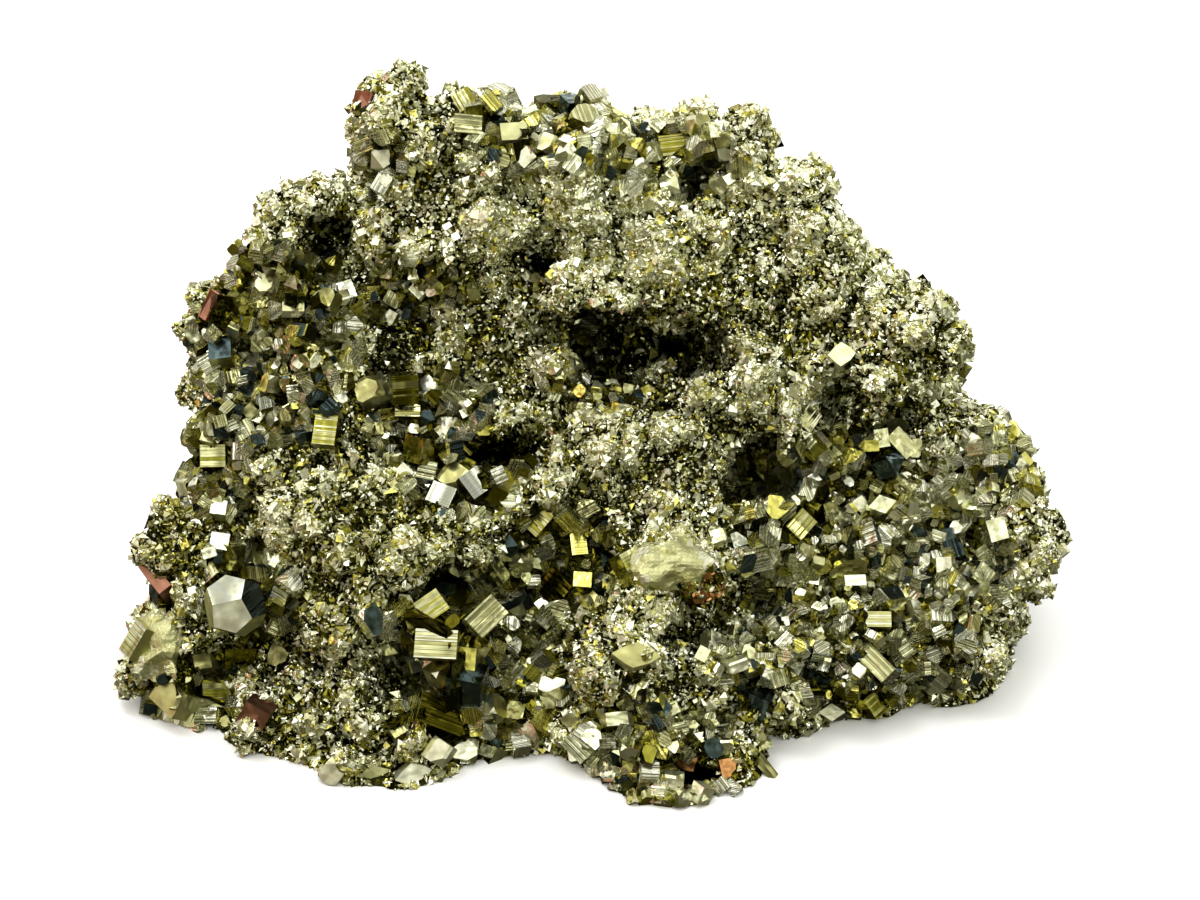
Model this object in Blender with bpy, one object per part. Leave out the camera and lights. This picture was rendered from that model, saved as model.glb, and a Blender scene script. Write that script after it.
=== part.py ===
"""A cabinet specimen of pyrite: one intergrown mass of cubes and pyritohedra, broken flat underneath.

The mass is built up as it grew. Lobes of fine grains fuse into one body, hollows are left open in its
display face, the surface is roughened, single large crystals stand on it, and the underside is the flat
break where it came off the wall of its vein.

Lobes, hollows and crystals are placed on the display face, which leans back from upright. A place is
(across, back, up) in millimetres: across to the right, back into the rock at a right angle to the face,
and up along the face from the lowest point of the front toe.
"""

import math
import random

import bmesh
import bpy
from mathutils import Matrix, Vector

MM = 0.001

# Driving dimensions, in millimetres and degrees.
FACE_LEAN = 32.0
TOE_Y = -48.0
MIDDLE = (0.6, -4.4, 0.0)
LOBE_FINENESS = 3
FUSE_VOXEL = 1.5
GRAIN_SIZE = 7.0
GRAIN_HEIGHT = 3.2
GRAIN_LEVEL = 0.8
BODY_SHARE = 0.085
TABLE_SLAB = (240.0, 240.0, 60.0)

PYRITE_COLOUR = (0.52, 0.47, 0.28, 1.0)
PYRITE_ROUGHNESS = 0.28

# The lobes that show on the display face: place (across, back, up), then radii along the same axes.
FACE_LOBES = {
    "horn": ((-32.0, 17.0, 112.4), (6.2, 6.0, 6.4)),
    "horn_beak": ((-37.4, 17.0, 110.0), (2.8, 3.2, 2.6)),
    "horn_neck": ((-31.5, 18.0, 103.5), (6.6, 8.0, 6.8)),
    "summit_left": ((-20.0, 22.0, 106.9), (8.6, 12.0, 7.0)),
    "summit_middle": ((-3.5, 24.0, 107.5), (10.0, 14.0, 7.0)),
    "summit_dip": ((8.0, 25.0, 104.2), (8.0, 12.0, 5.4)),
    "summit_right": ((19.0, 22.0, 104.5), (9.4, 12.0, 6.9)),
    "shoulder": ((30.5, 23.0, 94.8), (8.4, 14.0, 8.8)),
    "upper_left": ((-25.0, 26.0, 91.5), (14.5, 14.0, 12.0)),
    "upper_middle": ((-5.0, 25.0, 93.5), (14.5, 13.0, 12.5)),
    "upper_right": ((14.0, 24.0, 90.0), (14.5, 13.0, 12.0)),
    "upper_far": ((30.0, 26.0, 84.5), (13.0, 14.0, 10.5)),
    "brow_left": ((0.5, 17.0, 81.5), (10.0, 8.0, 4.6)),
    "brow_right": ((14.5, 18.0, 80.5), (9.5, 8.0, 4.6)),
    "right_slope": ((44.5, 28.0, 81.0), (8.6, 12.0, 6.0)),
    "right_knob": ((50.0, 20.0, 75.0), (8.4, 9.0, 7.6)),
    "right_knob_tip": ((55.2, 22.0, 73.6), (3.4, 5.0, 4.6)),
    "right_knob_low": ((42.5, 16.0, 68.5), (6.8, 7.0, 6.2)),
    "column_top": ((28.5, 20.0, 70.0), (9.6, 9.0, 7.6)),
    "column_low": ((30.5, 21.0, 60.5), (6.2, 8.0, 6.4)),
    "left_crown": ((-46.5, 25.0, 94.3), (8.0, 10.0, 6.8)),
    "left_brow": ((-54.0, 26.0, 88.5), (5.8, 9.0, 5.2)),
    "left_edge": ((-61.5, 32.0, 76.5), (6.0, 12.0, 9.0)),
    "left_shoulder": ((-47.0, 32.0, 77.0), (12.5, 16.0, 11.0)),
    "left_waist": ((-58.5, 31.0, 62.0), (8.0, 14.0, 9.5)),
    "left_belly": ((-41.0, 27.0, 61.0), (13.5, 13.0, 11.0)),
    "left_knob": ((-64.8, 25.0, 41.5), (9.4, 9.0, 7.8)),
    "left_knob_top": ((-61.0, 28.0, 50.5), (7.0, 10.0, 5.2)),
    "crystal_seat": ((-56.0, 23.0, 31.5), (8.0, 10.0, 7.0)),
    "left_toe": ((-68.4, 24.0, 24.2), (8.0, 9.0, 9.2)),
    "left_toe_foot": ((-66.5, 23.0, 16.9), (6.2, 7.0, 4.2)),
    "boulder": ((-37.0, 17.0, 37.5), (14.5, 13.0, 12.5)),
    "boulder_top": ((-42.0, 16.0, 46.0), (9.5, 10.0, 7.0)),
    "boulder_right": ((-24.5, 18.0, 42.5), (8.4, 9.0, 8.0)),
    "left_base": ((-40.0, 21.0, 12.8), (13.0, 14.0, 9.6)),
    "left_base_corner": ((-53.0, 21.0, 13.0), (7.4, 10.0, 8.0)),
    "middle_base": ((-20.5, 21.0, 16.0), (12.5, 14.0, 10.0)),
    "base_foot": ((-33.0, 13.0, 7.2), (12.0, 8.0, 5.6)),
    "front_pillar": ((1.5, 15.0, 25.0), (9.0, 11.0, 12.0)),
    "fin": ((10.5, 15.0, 38.0), (11.5, 9.0, 5.6)),
    "toe_left": ((0.5, 12.0, 10.5), (4.6, 8.0, 4.2)),
    "toe": ((11.0, 9.0, 6.2), (9.6, 9.0, 7.0)),
    "toe_right": ((20.8, 13.0, 6.6), (5.8, 8.0, 5.4)),
    "right_front": ((23.5, 19.0, 21.5), (11.5, 12.0, 9.0)),
    "right_foot": ((30.0, 20.0, 18.2), (8.4, 10.0, 6.2)),
    "right_base": ((41.0, 25.0, 25.0), (13.5, 13.0, 10.8)),
    "right_base_far": ((57.0, 29.0, 28.6), (12.4, 14.0, 12.4)),
    "right_cheek": ((67.8, 33.0, 42.6), (7.2, 12.0, 11.4)),
    "right_cheek_top": ((64.2, 36.0, 53.6), (7.6, 12.0, 7.2)),
    "right_shelf": ((46.0, 41.0, 51.5), (13.6, 14.0, 8.6)),
    "right_shelf_low": ((33.0, 31.0, 39.5), (14.5, 12.0, 9.5)),
    "centre_upper": ((-5.0, 28.0, 62.5), (12.0, 12.0, 7.0)),
    "centre_left": ((-25.5, 27.0, 65.0), (10.0, 12.0, 8.5)),
    "centre_low": ((-6.0, 24.5, 46.0), (12.0, 12.0, 7.6)),
    "centre_right": ((13.0, 25.5, 57.0), (9.5, 11.0, 8.0)),
    "centre_lower_right": ((18.0, 28.0, 46.0), (9.0, 11.0, 6.0)),
}

# The bulk behind the face: place (x, y, z), upright, then radii.
BULK_LOBES = {
    "core": ((0.0, 17.0, 24.0), (58.0, 30.0, 29.0)),
    "upper_core": ((-2.0, 27.0, 48.0), (50.0, 20.0, 24.0)),
    "crown_core": ((-3.0, 31.0, 66.0), (36.0, 13.0, 14.0)),
    "foot": ((0.0, 2.0, 5.0), (52.0, 36.0, 12.0)),
    "left_foot": ((-42.0, -6.0, 6.0), (20.0, 18.0, 9.0)),
    "back_left": ((-33.0, 31.0, 24.0), (24.0, 17.0, 24.0)),
    "back_right": ((27.0, 33.0, 22.0), (27.0, 16.0, 22.0)),
    "back_middle": ((2.0, 36.0, 47.0), (22.0, 12.0, 19.0)),
    "back_knob": ((33.0, 33.0, 50.0), (14.0, 12.0, 12.0)),
    "back_ridge": ((-29.0, 35.0, 60.0), (14.0, 11.0, 13.0)),
    "left_bulk": ((-50.0, 14.0, 26.0), (17.0, 22.0, 24.0)),
    "right_bulk": ((52.0, 16.0, 20.0), (17.5, 21.0, 17.5)),
    "back_low": ((-6.0, 45.0, 13.0), (13.0, 8.0, 9.0)),
    "back_low_left": ((-42.0, 37.0, 14.0), (12.0, 10.0, 10.0)),
    "back_low_right": ((38.0, 42.0, 15.0), (11.0, 9.0, 10.0)),
    "back_boss": ((-13.0, 44.0, 31.0), (11.0, 9.0, 10.0)),
    "back_boss_right": ((15.0, 43.0, 37.0), (10.0, 9.0, 9.0)),
    "back_boss_left": ((-45.0, 33.0, 42.0), (11.0, 10.0, 10.0)),
    "back_right_knob": ((45.0, 33.0, 34.0), (10.0, 10.0, 9.0)),
    "back_top_left": ((-17.0, 42.0, 60.0), (9.0, 8.0, 8.0)),
    "back_top_right": ((14.0, 39.0, 66.0), (10.0, 8.0, 9.0)),
}

# Hollows left open in the face: place and radii as for the lobes.
HOLLOWS = {
    "main_cavity": ((6.0, 22.0, 74.0), (15.5, 22.0, 6.0)),
    "cavity_tail": ((19.0, 20.0, 71.4), (7.0, 17.0, 4.4)),
    "cavity_mouth": ((-8.0, 18.0, 76.4), (6.0, 12.0, 3.6)),
    "left_vug": ((-15.5, 18.0, 58.0), (6.8, 14.0, 4.6)),
    "right_vug": ((37.6, 20.0, 64.5), (4.8, 16.0, 7.0)),
    "knob_shadow": ((49.0, 26.0, 62.0), (10.0, 13.0, 4.6)),
    "low_right_vug": ((25.0, 21.0, 52.6), (7.6, 16.0, 5.0)),
    "summit_pit": ((17.0, 16.0, 101.2), (5.8, 11.0, 4.4)),
    "crown_pit": ((-43.0, 17.0, 91.4), (5.2, 13.0, 4.8)),
    "upper_pit": ((-9.5, 12.0, 88.8), (6.0, 10.0, 3.6)),
    "left_slot": ((-35.5, 17.0, 72.0), (7.0, 12.0, 3.4)),
    "boulder_pit": ((-37.0, 4.0, 46.8), (4.2, 7.0, 3.6)),
    "boulder_side": ((-23.5, 12.0, 34.5), (4.0, 9.0, 4.0)),
    "seam_left": ((-52.5, 12.0, 26.2), (9.0, 9.0, 3.2)),
    "seam_middle": ((-30.0, 10.0, 23.0), (10.5, 14.0, 4.4)),
    "seam_right": ((-11.0, 8.0, 30.0), (4.6, 11.0, 6.4)),
    "under_fin": ((15.0, 9.0, 29.4), (3.6, 10.0, 5.8)),
    "toe_hollow": ((17.6, 2.6, 7.2), (6.6, 7.0, 3.6)),
    "side_pit": ((-44.5, 13.0, 54.4), (3.4, 9.0, 3.0)),
}

# Large crystals that stand on the face: place, edge length, and turn about across, back and up.
FACE_CRYSTALS = {
    "great_crystal": ((-57.0, 13.5, 33.0), 8.6, (28, 20, 38)),
    "striated_block": ((-24.0, 8.5, 26.0), 7.0, (12, 4, 24)),
    "striated_neighbour": ((-19.0, 10.5, 30.0), 6.4, (30, 28, 12)),
    "base_block": ((-27.5, 8.5, 16.0), 7.0, (20, -36, 30)),
    "base_block_left": ((-32.0, 9.0, 14.5), 5.0, (12, -30, -20)),
    "vug_block": ((-24.5, 16.5, 57.5), 5.6, (10, -28, 30)),
    "vug_block_right": ((-17.5, 15.0, 52.5), 6.2, (24, 16, -24)),
    "pillar_plate": ((4.0, 4.5, 24.5), 7.4, (18, 30, 10)),
    "summit_block": ((-5.0, 11.5, 105.0), 7.0, (26, -32, 14)),
    "summit_plate": ((-12.0, 12.5, 106.5), 6.4, (10, 6, 36)),
    "left_block": ((-49.0, 17.0, 82.5), 5.4, (8, 10, 40)),
    "left_side_block": ((-61.0, 21.0, 60.5), 5.8, (14, 2, 30)),
    "slot_block": ((-31.5, 15.5, 67.0), 6.4, (38, -16, 30)),
    "shelf_block": ((45.5, 27.0, 58.5), 6.0, (34, 24, 18)),
    "base_right_block": ((41.5, 13.0, 20.0), 5.6, (20, 24, 30)),
    "base_right_cube": ((31.0, 12.0, 18.5), 6.6, (10, 8, -26)),
    "toe_cube": ((24.3, 8.5, 8.0), 4.2, (12, -6, 14)),
    "left_toe_plate": ((-67.0, 16.5, 17.0), 5.8, (40, 10, 26)),
}

SCATTERED_CRYSTALS = 72
SCATTER_SEED = 11
SCATTER_EDGE = (3.6, 6.4)
SCATTER_GAP = 12.0
SCATTER_SUNK = 0.3
SCATTER_FLOOR = 8.0
SCATTER_TURN = 90.0
CORNER_CUT = 0.28


def clear_scene():
    """Removes whatever the file started with."""
    for obj in list(bpy.data.objects):
        bpy.data.objects.remove(obj)


def face_to_row():
    """The matrix from (across, back, up) on the leaning display face to the row frame, in millimetres."""
    lean = Matrix.Rotation(math.radians(-FACE_LEAN), 4, "X")
    return bulk_to_row() @ Matrix.Translation((0.0, TOE_Y, 0.0)) @ lean


def bulk_to_row():
    """The matrix that puts the middle of the whole outline over the origin, in millimetres."""
    return Matrix.Translation(MIDDLE)


def linked(name, mesh):
    """A new object of this mesh, in the scene."""
    obj = bpy.data.objects.new(name, mesh)
    bpy.context.scene.collection.objects.link(obj)
    return obj


def mesh_of(name, bm):
    """A new mesh of what was built in bm."""
    mesh = bpy.data.meshes.new(name)
    bm.to_mesh(mesh)
    bm.free()
    return mesh


def add_lobe(bm, frame, place, radii):
    """One ellipsoid, centred at place and stretched along the frame's axes."""
    size = Matrix.Diagonal((*radii, 1.0))
    at = Matrix.Scale(MM, 4) @ frame @ Matrix.Translation(place) @ size
    bmesh.ops.create_icosphere(bm, subdivisions=LOBE_FINENESS, radius=1.0, matrix=at)


def lobes_object(name, groups):
    """All the ellipsoids of groups, a list of (frame, lobes), in one object fused by a voxel remesh."""
    bm = bmesh.new()
    for frame, lobes in groups:
        for place, radii in lobes.values():
            add_lobe(bm, frame, place, radii)
    obj = linked(name, mesh_of(name, bm))
    add_fuse(obj)
    return obj


def add_fuse(obj):
    """Makes overlapping or cut shapes one closed skin of even quads."""
    fuse = obj.modifiers.new("fuse", "REMESH")
    fuse.mode = "VOXEL"
    fuse.voxel_size = FUSE_VOXEL * MM


def add_boolean(obj, operation, other, overlapping=False):
    """Joins other to obj, or cuts it away; overlapping is True where parts of other cross each other."""
    cut = obj.modifiers.new(operation.lower() + "_" + other.name, "BOOLEAN")
    cut.operation = operation
    cut.object = other
    cut.solver = "EXACT"
    cut.use_self = overlapping


def as_helper(obj):
    """A helper shapes another object and isn't a part itself."""
    obj.hide_render = True
    obj.display_type = "WIRE"
    return obj


def add_roughness(obj):
    """Pushes the skin in and out in angular cells, as grains of this size do, then thins its faces."""
    cells = bpy.data.textures.new("grain_cells", "VORONOI")
    cells.noise_scale = GRAIN_SIZE * MM
    cells.distance_metric = "CHEBYCHEV"
    rough = obj.modifiers.new("grain", "DISPLACE")
    rough.texture = cells
    rough.texture_coords = "LOCAL"
    rough.strength = -GRAIN_HEIGHT * MM
    rough.mid_level = GRAIN_LEVEL
    thin = obj.modifiers.new("thin", "DECIMATE")
    thin.ratio = BODY_SHARE
    thin.use_collapse_triangulate = True


def add_crystal(bm, at, edge, corner_cut=0.0):
    """A cube of this edge, its corners cut off by this share of it, as cube and octahedron grow together."""
    made = bmesh.ops.create_cube(bm, size=edge * MM, matrix=at)
    if corner_cut:
        bmesh.ops.bevel(
            bm,
            geom=made["verts"],
            offset=edge * MM * corner_cut,
            affect="VERTICES",
            segments=1,
        )


def turn(degrees):
    """The rotation about x, then y, then z, by these degrees."""
    x, y, z = (math.radians(a) for a in degrees)
    return Matrix.Rotation(z, 4, "Z") @ Matrix.Rotation(y, 4, "Y") @ Matrix.Rotation(x, 4, "X")


def crystals_object(body):
    """The large crystals of the face, and smaller ones scattered over the rest of the body's skin."""
    bm = bmesh.new()
    frame = face_to_row()
    for name, (place, edge, degrees) in FACE_CRYSTALS.items():
        at = frame @ Matrix.Translation(place)
        at.translation *= MM
        corner_cut = CORNER_CUT if name == "great_crystal" else 0.0
        add_crystal(bm, at @ turn(degrees), edge, corner_cut)
    draw = random.Random(SCATTER_SEED)
    skin = body.evaluated_get(bpy.context.evaluated_depsgraph_get()).data
    count = len(skin.polygons)
    placed = []
    while len(placed) < SCATTERED_CRYSTALS:
        face = skin.polygons[draw.randrange(count)]
        edge = draw.uniform(*SCATTER_EDGE)
        degrees = [draw.uniform(0.0, SCATTER_TURN) for _ in range(3)]
        clear = all((face.center - other).length > SCATTER_GAP * MM for other in placed)
        if not clear or face.center.z < SCATTER_FLOOR * MM:
            continue
        placed.append(face.center.copy())
        sunk = face.center - face.normal * edge * MM * SCATTER_SUNK
        add_crystal(bm, Matrix.Translation(sunk) @ turn(degrees), edge)
    return linked("crystals", mesh_of("crystals", bm))


def table_slab():
    """Everything below the break: the space under z = 0."""
    bm = bmesh.new()
    under = Matrix.Translation((0.0, 0.0, -TABLE_SLAB[2] / 2)) @ Matrix.Diagonal((*TABLE_SLAB, 1.0))
    bmesh.ops.create_cube(bm, size=1.0, matrix=Matrix.Scale(MM, 4) @ under)
    return linked("table_slab", mesh_of("table_slab", bm))


def pyrite():
    """Brassy metal, as the colour of the faces."""
    material = bpy.data.materials.new("pyrite")
    material.use_nodes = True
    shader = material.node_tree.nodes["Principled BSDF"]
    shader.inputs["Base Color"].default_value = PYRITE_COLOUR
    shader.inputs["Metallic"].default_value = 1.0
    shader.inputs["Roughness"].default_value = PYRITE_ROUGHNESS
    return material


def main():
    clear_scene()
    body = lobes_object(
        "pyrite_cluster", [(face_to_row(), FACE_LOBES), (bulk_to_row(), BULK_LOBES)]
    )
    hollows = as_helper(lobes_object("hollows", [(face_to_row(), HOLLOWS)]))
    add_boolean(body, "DIFFERENCE", hollows)
    add_fuse(body)
    add_roughness(body)
    crystals = as_helper(crystals_object(body))
    add_boolean(body, "UNION", crystals, overlapping=True)
    add_boolean(body, "DIFFERENCE", as_helper(table_slab()))
    body.data.materials.append(pyrite())


main()
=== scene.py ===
"""A pyrite specimen on a pale floor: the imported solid, covered by the grains and crystals that grew on it."""

import math

import bmesh
import bpy
import numpy as np
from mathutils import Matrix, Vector
from mathutils.bvhtree import BVHTree


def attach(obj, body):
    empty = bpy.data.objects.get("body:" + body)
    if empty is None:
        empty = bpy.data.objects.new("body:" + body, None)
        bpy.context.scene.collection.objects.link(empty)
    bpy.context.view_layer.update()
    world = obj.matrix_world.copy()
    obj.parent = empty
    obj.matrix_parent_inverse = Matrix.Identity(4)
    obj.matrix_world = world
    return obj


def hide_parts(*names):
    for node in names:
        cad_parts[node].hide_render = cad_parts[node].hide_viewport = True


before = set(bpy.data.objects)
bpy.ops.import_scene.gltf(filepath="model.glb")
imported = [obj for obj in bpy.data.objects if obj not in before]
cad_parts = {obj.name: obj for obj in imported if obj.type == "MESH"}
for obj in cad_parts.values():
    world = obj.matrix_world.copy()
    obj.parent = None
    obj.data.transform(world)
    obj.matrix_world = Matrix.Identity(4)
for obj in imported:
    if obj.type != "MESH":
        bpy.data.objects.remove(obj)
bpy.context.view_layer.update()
MM = 0.001
ROOT = "root"

# ---------------------------------------------------------------------------
# Pyrite, the one mineral of the whole specimen: a brassy metal that mirrors its surroundings. Every face
# lies on one cell of a chart of tones (across) and finishes (up): plain, striated by growth steps, or
# Some faces carry other colours: random blue tarnished films, and painted reflections: rose and copper
# on a few large crystals, blue on a face of the best one, and yellow on side faces and in creases.
TONES = 16
FINISHES = 8
YELLOW, GREY, NAVY, ROSE_REFLECTION, COPPER = 10, 12, 13, 14, 15
TONE_COLOURS = {
    0: (0.93, 0.94, 0.80),
    1: (0.81, 0.82, 0.59),
    2: (0.73, 0.74, 0.60),
    3: (0.66, 0.67, 0.42),
    4: (0.58, 0.58, 0.43),
    5: (0.48, 0.48, 0.25),
    6: (0.37, 0.36, 0.15),
    7: (0.23, 0.22, 0.03),
    8: (0.11, 0.10, 0.008),
    9: (0.014, 0.014, 0.003),
    YELLOW: (0.66, 0.62, 0.16),
    GREY: (0.31, 0.32, 0.25),
    NAVY: (0.045, 0.065, 0.065),
    ROSE_REFLECTION: (0.27, 0.13, 0.085),
    COPPER: (0.38, 0.19, 0.07),
}
PLAIN, FROSTED, STRIATED, BANDED, CRUMPLED, FOIL, DULL = range(7)
CELL_MARGIN = 0.12
STEP_LINES = 13.0
BROAD_STEP_LINES = 8.0
STEP_EDGES = (0.45, 0.55)
STEP_HEIGHT = 0.25 * MM
STEP_STRENGTH = 0.9
STEP_SHARE = 0.6
STEP_SHADE = (0.28, 0.27, 0.18, 1.0)
FACETS = 2.6
FOIL_FACETS = 4.6
LEANS = {CRUMPLED: 0.9, FOIL: 1.3}
RIPPLE_LEAN = 0.7
FILM_FINENESS = 3.0
FILM_EDGES = (0.35, 0.70)
FILM_SHARE = 0.5
FILM_TINT = (0.72, 0.68, 0.50, 1.0)
POLISHED = 0.13
ROUGHER = {FROSTED: 0.19, CRUMPLED: 0.10, DULL: 0.36}
FILM_ROUGHER = 0.07


def node(tree, kind, **values):
    """A node of this kind. values set its properties, or its inputs where the name is in_ and an index."""
    made = tree.nodes.new(kind)
    for key, value in values.items():
        if key.startswith("in_"):
            made.inputs[int(key[3:])].default_value = value
        else:
            setattr(made, key, value)
    return made


def maths(tree, operation, a, b=None, c=None):
    """operation(a, b, c), where each is a number or another node's output."""
    made = node(tree, "ShaderNodeMath", operation=operation)
    for socket, value in zip(made.inputs, (a, b, c)):
        if value is None:
            continue
        if isinstance(value, (int, float)):
            socket.default_value = value
        else:
            tree.links.new(value, socket)
    return made.outputs[0]


def vectors(tree, operation, a, b=None):
    """operation(a, b) on directions. a is another node's output, and b one too, or three numbers, or one."""
    made = node(tree, "ShaderNodeVectorMath", operation=operation)
    tree.links.new(a, made.inputs[0])
    socket = made.inputs["Scale" if operation == "SCALE" else 1]
    if isinstance(b, (float, tuple)):
        socket.default_value = b
    elif b is not None:
        tree.links.new(b, socket)
    return made.outputs[0]


def noise(tree, dimensions, place, scale, detail, roughness=0.5):
    """Smooth noise over a place, which is a number for 1D and a vector for more: its value and its colour."""
    made = node(tree, "ShaderNodeTexNoise", noise_dimensions=dimensions)
    made.inputs["Scale"].default_value = scale
    made.inputs["Detail"].default_value = detail
    made.inputs["Roughness"].default_value = roughness
    tree.links.new(place, made.inputs["W" if dimensions == "1D" else "Vector"])
    return made.outputs[0], made.outputs[1]


def between(tree, value, low, high, easing="LINEAR"):
    """0 where the value is low or less and 1 where it is high or more."""
    made = node(tree, "ShaderNodeMapRange", interpolation_type=easing, in_1=low, in_2=high)
    tree.links.new(value, made.inputs[0])
    return made.outputs[0]


def mixed(tree, share, a, b, blend="MIX"):
    """Colour a mixed with colour b by this share. Each is four numbers or another node's output."""
    made = node(tree, "ShaderNodeMix", data_type="RGBA", blend_type=blend)
    tree.links.new(share, made.inputs[0])
    for socket, colour in ((made.inputs[6], a), (made.inputs[7], b)):
        if isinstance(colour, tuple):
            socket.default_value = colour
        else:
            tree.links.new(colour, socket)
    return made.outputs[2]


def ramp(tree, value, stops, easing):
    """The colour at this value along a ramp of (position, colour) stops."""
    made = node(tree, "ShaderNodeValToRGB")
    made.color_ramp.interpolation = easing
    elements = made.color_ramp.elements
    for index, (position, colour) in enumerate(stops):
        stop = elements[index] if index < 2 else elements.new(1.0)
        stop.position = position
        stop.color = (*colour, 1.0)
    tree.links.new(value, made.inputs[0])
    return made.outputs[0]


def pyrite_material():
    """Reads each face's cell from its chart place (u, v): tone = floor(16 u), finish = floor(8 v)."""
    material = bpy.data.materials.new("pyrite")
    material.use_nodes = True
    tree = material.node_tree
    shader = tree.nodes["Principled BSDF"]
    shader.inputs["Metallic"].default_value = 1.0
    chart = node(tree, "ShaderNodeUVMap", uv_map="OFBake")
    parts = node(tree, "ShaderNodeSeparateXYZ")
    tree.links.new(chart.outputs[0], parts.inputs[0])
    across = maths(tree, "MULTIPLY", parts.outputs[0], TONES)
    up = maths(tree, "MULTIPLY", parts.outputs[1], FINISHES)
    tone = maths(tree, "FLOOR", across)
    finish = maths(tree, "FLOOR", up)
    in_cell = maths(tree, "FRACT", across)
    in_cell_up = maths(tree, "FRACT", up)
    stops = [(number / TONES, colour) for number, colour in TONE_COLOURS.items()]
    colour = ramp(tree, maths(tree, "DIVIDE", maths(tree, "ADD", tone, 0.5), TONES), stops, "CONSTANT")

    def is_finish(number):
        """1 on the faces of this finish and 0 on the others."""
        return maths(tree, "COMPARE", finish, float(number), 0.5)

    # Growth steps: bands of uneven width across the cell, each tone with its own.
    striated = maths(tree, "MAXIMUM", is_finish(STRIATED), is_finish(BANDED))
    lines = maths(tree, "MULTIPLY_ADD", is_finish(BANDED), BROAD_STEP_LINES - STEP_LINES, STEP_LINES)
    along = maths(tree, "MULTIPLY_ADD", in_cell, lines, maths(tree, "MULTIPLY", tone, 37.0))
    wobble, _ = noise(tree, "1D", along, 1.0, 3.0, 0.7)
    bands = between(tree, wobble, *STEP_EDGES, "SMOOTHSTEP")
    bump = node(tree, "ShaderNodeBump")
    bump.inputs["Strength"].default_value = STEP_STRENGTH
    bump.inputs["Distance"].default_value = STEP_HEIGHT
    tree.links.new(maths(tree, "MULTIPLY", bands, striated), bump.inputs["Height"])

    # Crumpled finishes: each Voronoi patch of the cell leans its own way, and every face is a little wavy.
    fineness = maths(tree, "MULTIPLY_ADD", is_finish(FOIL), FOIL_FACETS - FACETS, FACETS)
    place = node(tree, "ShaderNodeCombineXYZ")
    shifted = maths(tree, "MULTIPLY_ADD", in_cell, fineness, maths(tree, "MULTIPLY", tone, 9.0))
    tree.links.new(shifted, place.inputs[0])
    tree.links.new(maths(tree, "MULTIPLY_ADD", in_cell_up, fineness, finish), place.inputs[1])
    patches = node(tree, "ShaderNodeTexVoronoi", voronoi_dimensions="2D")
    patches.inputs["Scale"].default_value = 1.0
    tree.links.new(place.outputs[0], patches.inputs["Vector"])
    _, ripple = noise(tree, "2D", place.outputs[0], 1.0, 2.0)
    half = (0.5, 0.5, 0.5)
    waved = vectors(tree, "SCALE", vectors(tree, "SUBTRACT", ripple, half), RIPPLE_LEAN)
    crumpled = maths(tree, "MULTIPLY", is_finish(CRUMPLED), LEANS[CRUMPLED])
    amount = maths(tree, "MULTIPLY_ADD", is_finish(FOIL), LEANS[FOIL], crumpled)
    lean = vectors(tree, "SCALE", vectors(tree, "SUBTRACT", patches.outputs["Color"], half), amount)
    tilted = vectors(tree, "ADD", bump.outputs[0], vectors(tree, "ADD", lean, waved))
    tree.links.new(vectors(tree, "NORMALIZE", tilted), shader.inputs["Normal"])

    # Lines between growth steps are darker, and thin cloudy films dull parts of every face.
    line = maths(tree, "MULTIPLY", maths(tree, "SUBTRACT", 1.0, bands), striated)
    lined = mixed(tree, maths(tree, "MULTIPLY", line, STEP_SHARE), colour, STEP_SHADE, "MULTIPLY")
    spot = node(tree, "ShaderNodeCombineXYZ")
    tree.links.new(maths(tree, "ADD", across, 3.0), spot.inputs[0])
    tree.links.new(up, spot.inputs[1])
    film, _ = noise(tree, "2D", spot.outputs[0], FILM_FINENESS, 4.0)
    cloud = between(tree, film, *FILM_EDGES)
    filmed = mixed(tree, maths(tree, "MULTIPLY", cloud, FILM_SHARE), lined, FILM_TINT, "MULTIPLY")
    tree.links.new(filmed, shader.inputs["Base Color"])
    rough = maths(tree, "MULTIPLY_ADD", cloud, FILM_ROUGHER, POLISHED)
    for number, rise in ROUGHER.items():
        rough = maths(tree, "MULTIPLY_ADD", is_finish(number), rise, rough)
    tree.links.new(rough, shader.inputs["Roughness"])
    return material


pyrite = pyrite_material()


def finish_piece(mesh, name):
    """Puts the mesh in the scene as a piece of the specimen that rides its one body."""
    mesh.materials.append(pyrite)
    mesh.shade_flat()
    obj = bpy.data.objects.new(name, mesh)
    bpy.context.scene.collection.objects.link(obj)
    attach(obj, ROOT)
    return obj


# ---------------------------------------------------------------------------
# The grown mass itself: lobes of fused grains, one solid body, rough all over and broken flat below.
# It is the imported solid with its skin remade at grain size, knobbed and creased, and sunk where
# crystals stand on it.
GRAIN_PITCH = 0.88
SKIN_INSET = 0.5
POCKET_SINK = 1.6
KNOB_SIZES = ((11.5, 5.4, 2.4), (5.2, 2.2, 1.1))
CREASE_WIDE = 0.28
PIT_DEPTH = 3.4
GAP_DEPTH = 2.6
HOLLOW_DEPTH = 3.2
FACE_LEAN = math.radians(32.0)
FACE_FOOT = (0.6, -52.4)
FACE_DEPTH = 42.0
PITS = (6.5, 31, 0.74, 6.0)
GAPS = (5.0, 37, 0.58, 5.0)
MASS_TONES = [2, 3, 4, 5, 6, 7]
GAP_SHADE_TONES = [8, 9, 9, 9]
BARE_TONES = (3.4, 6.4)


def to_face(points):
    """(across, back, up) in mm on the leaning display face, from row places in metres."""
    x = points[:, 0] / MM - FACE_FOOT[0]
    y = points[:, 1] / MM - FACE_FOOT[1]
    z = points[:, 2] / MM
    up = y * math.sin(FACE_LEAN) + z * math.cos(FACE_LEAN)
    back = y * math.cos(FACE_LEAN) - z * math.sin(FACE_LEAN)
    return np.stack([x, back, up], 1)


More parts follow.
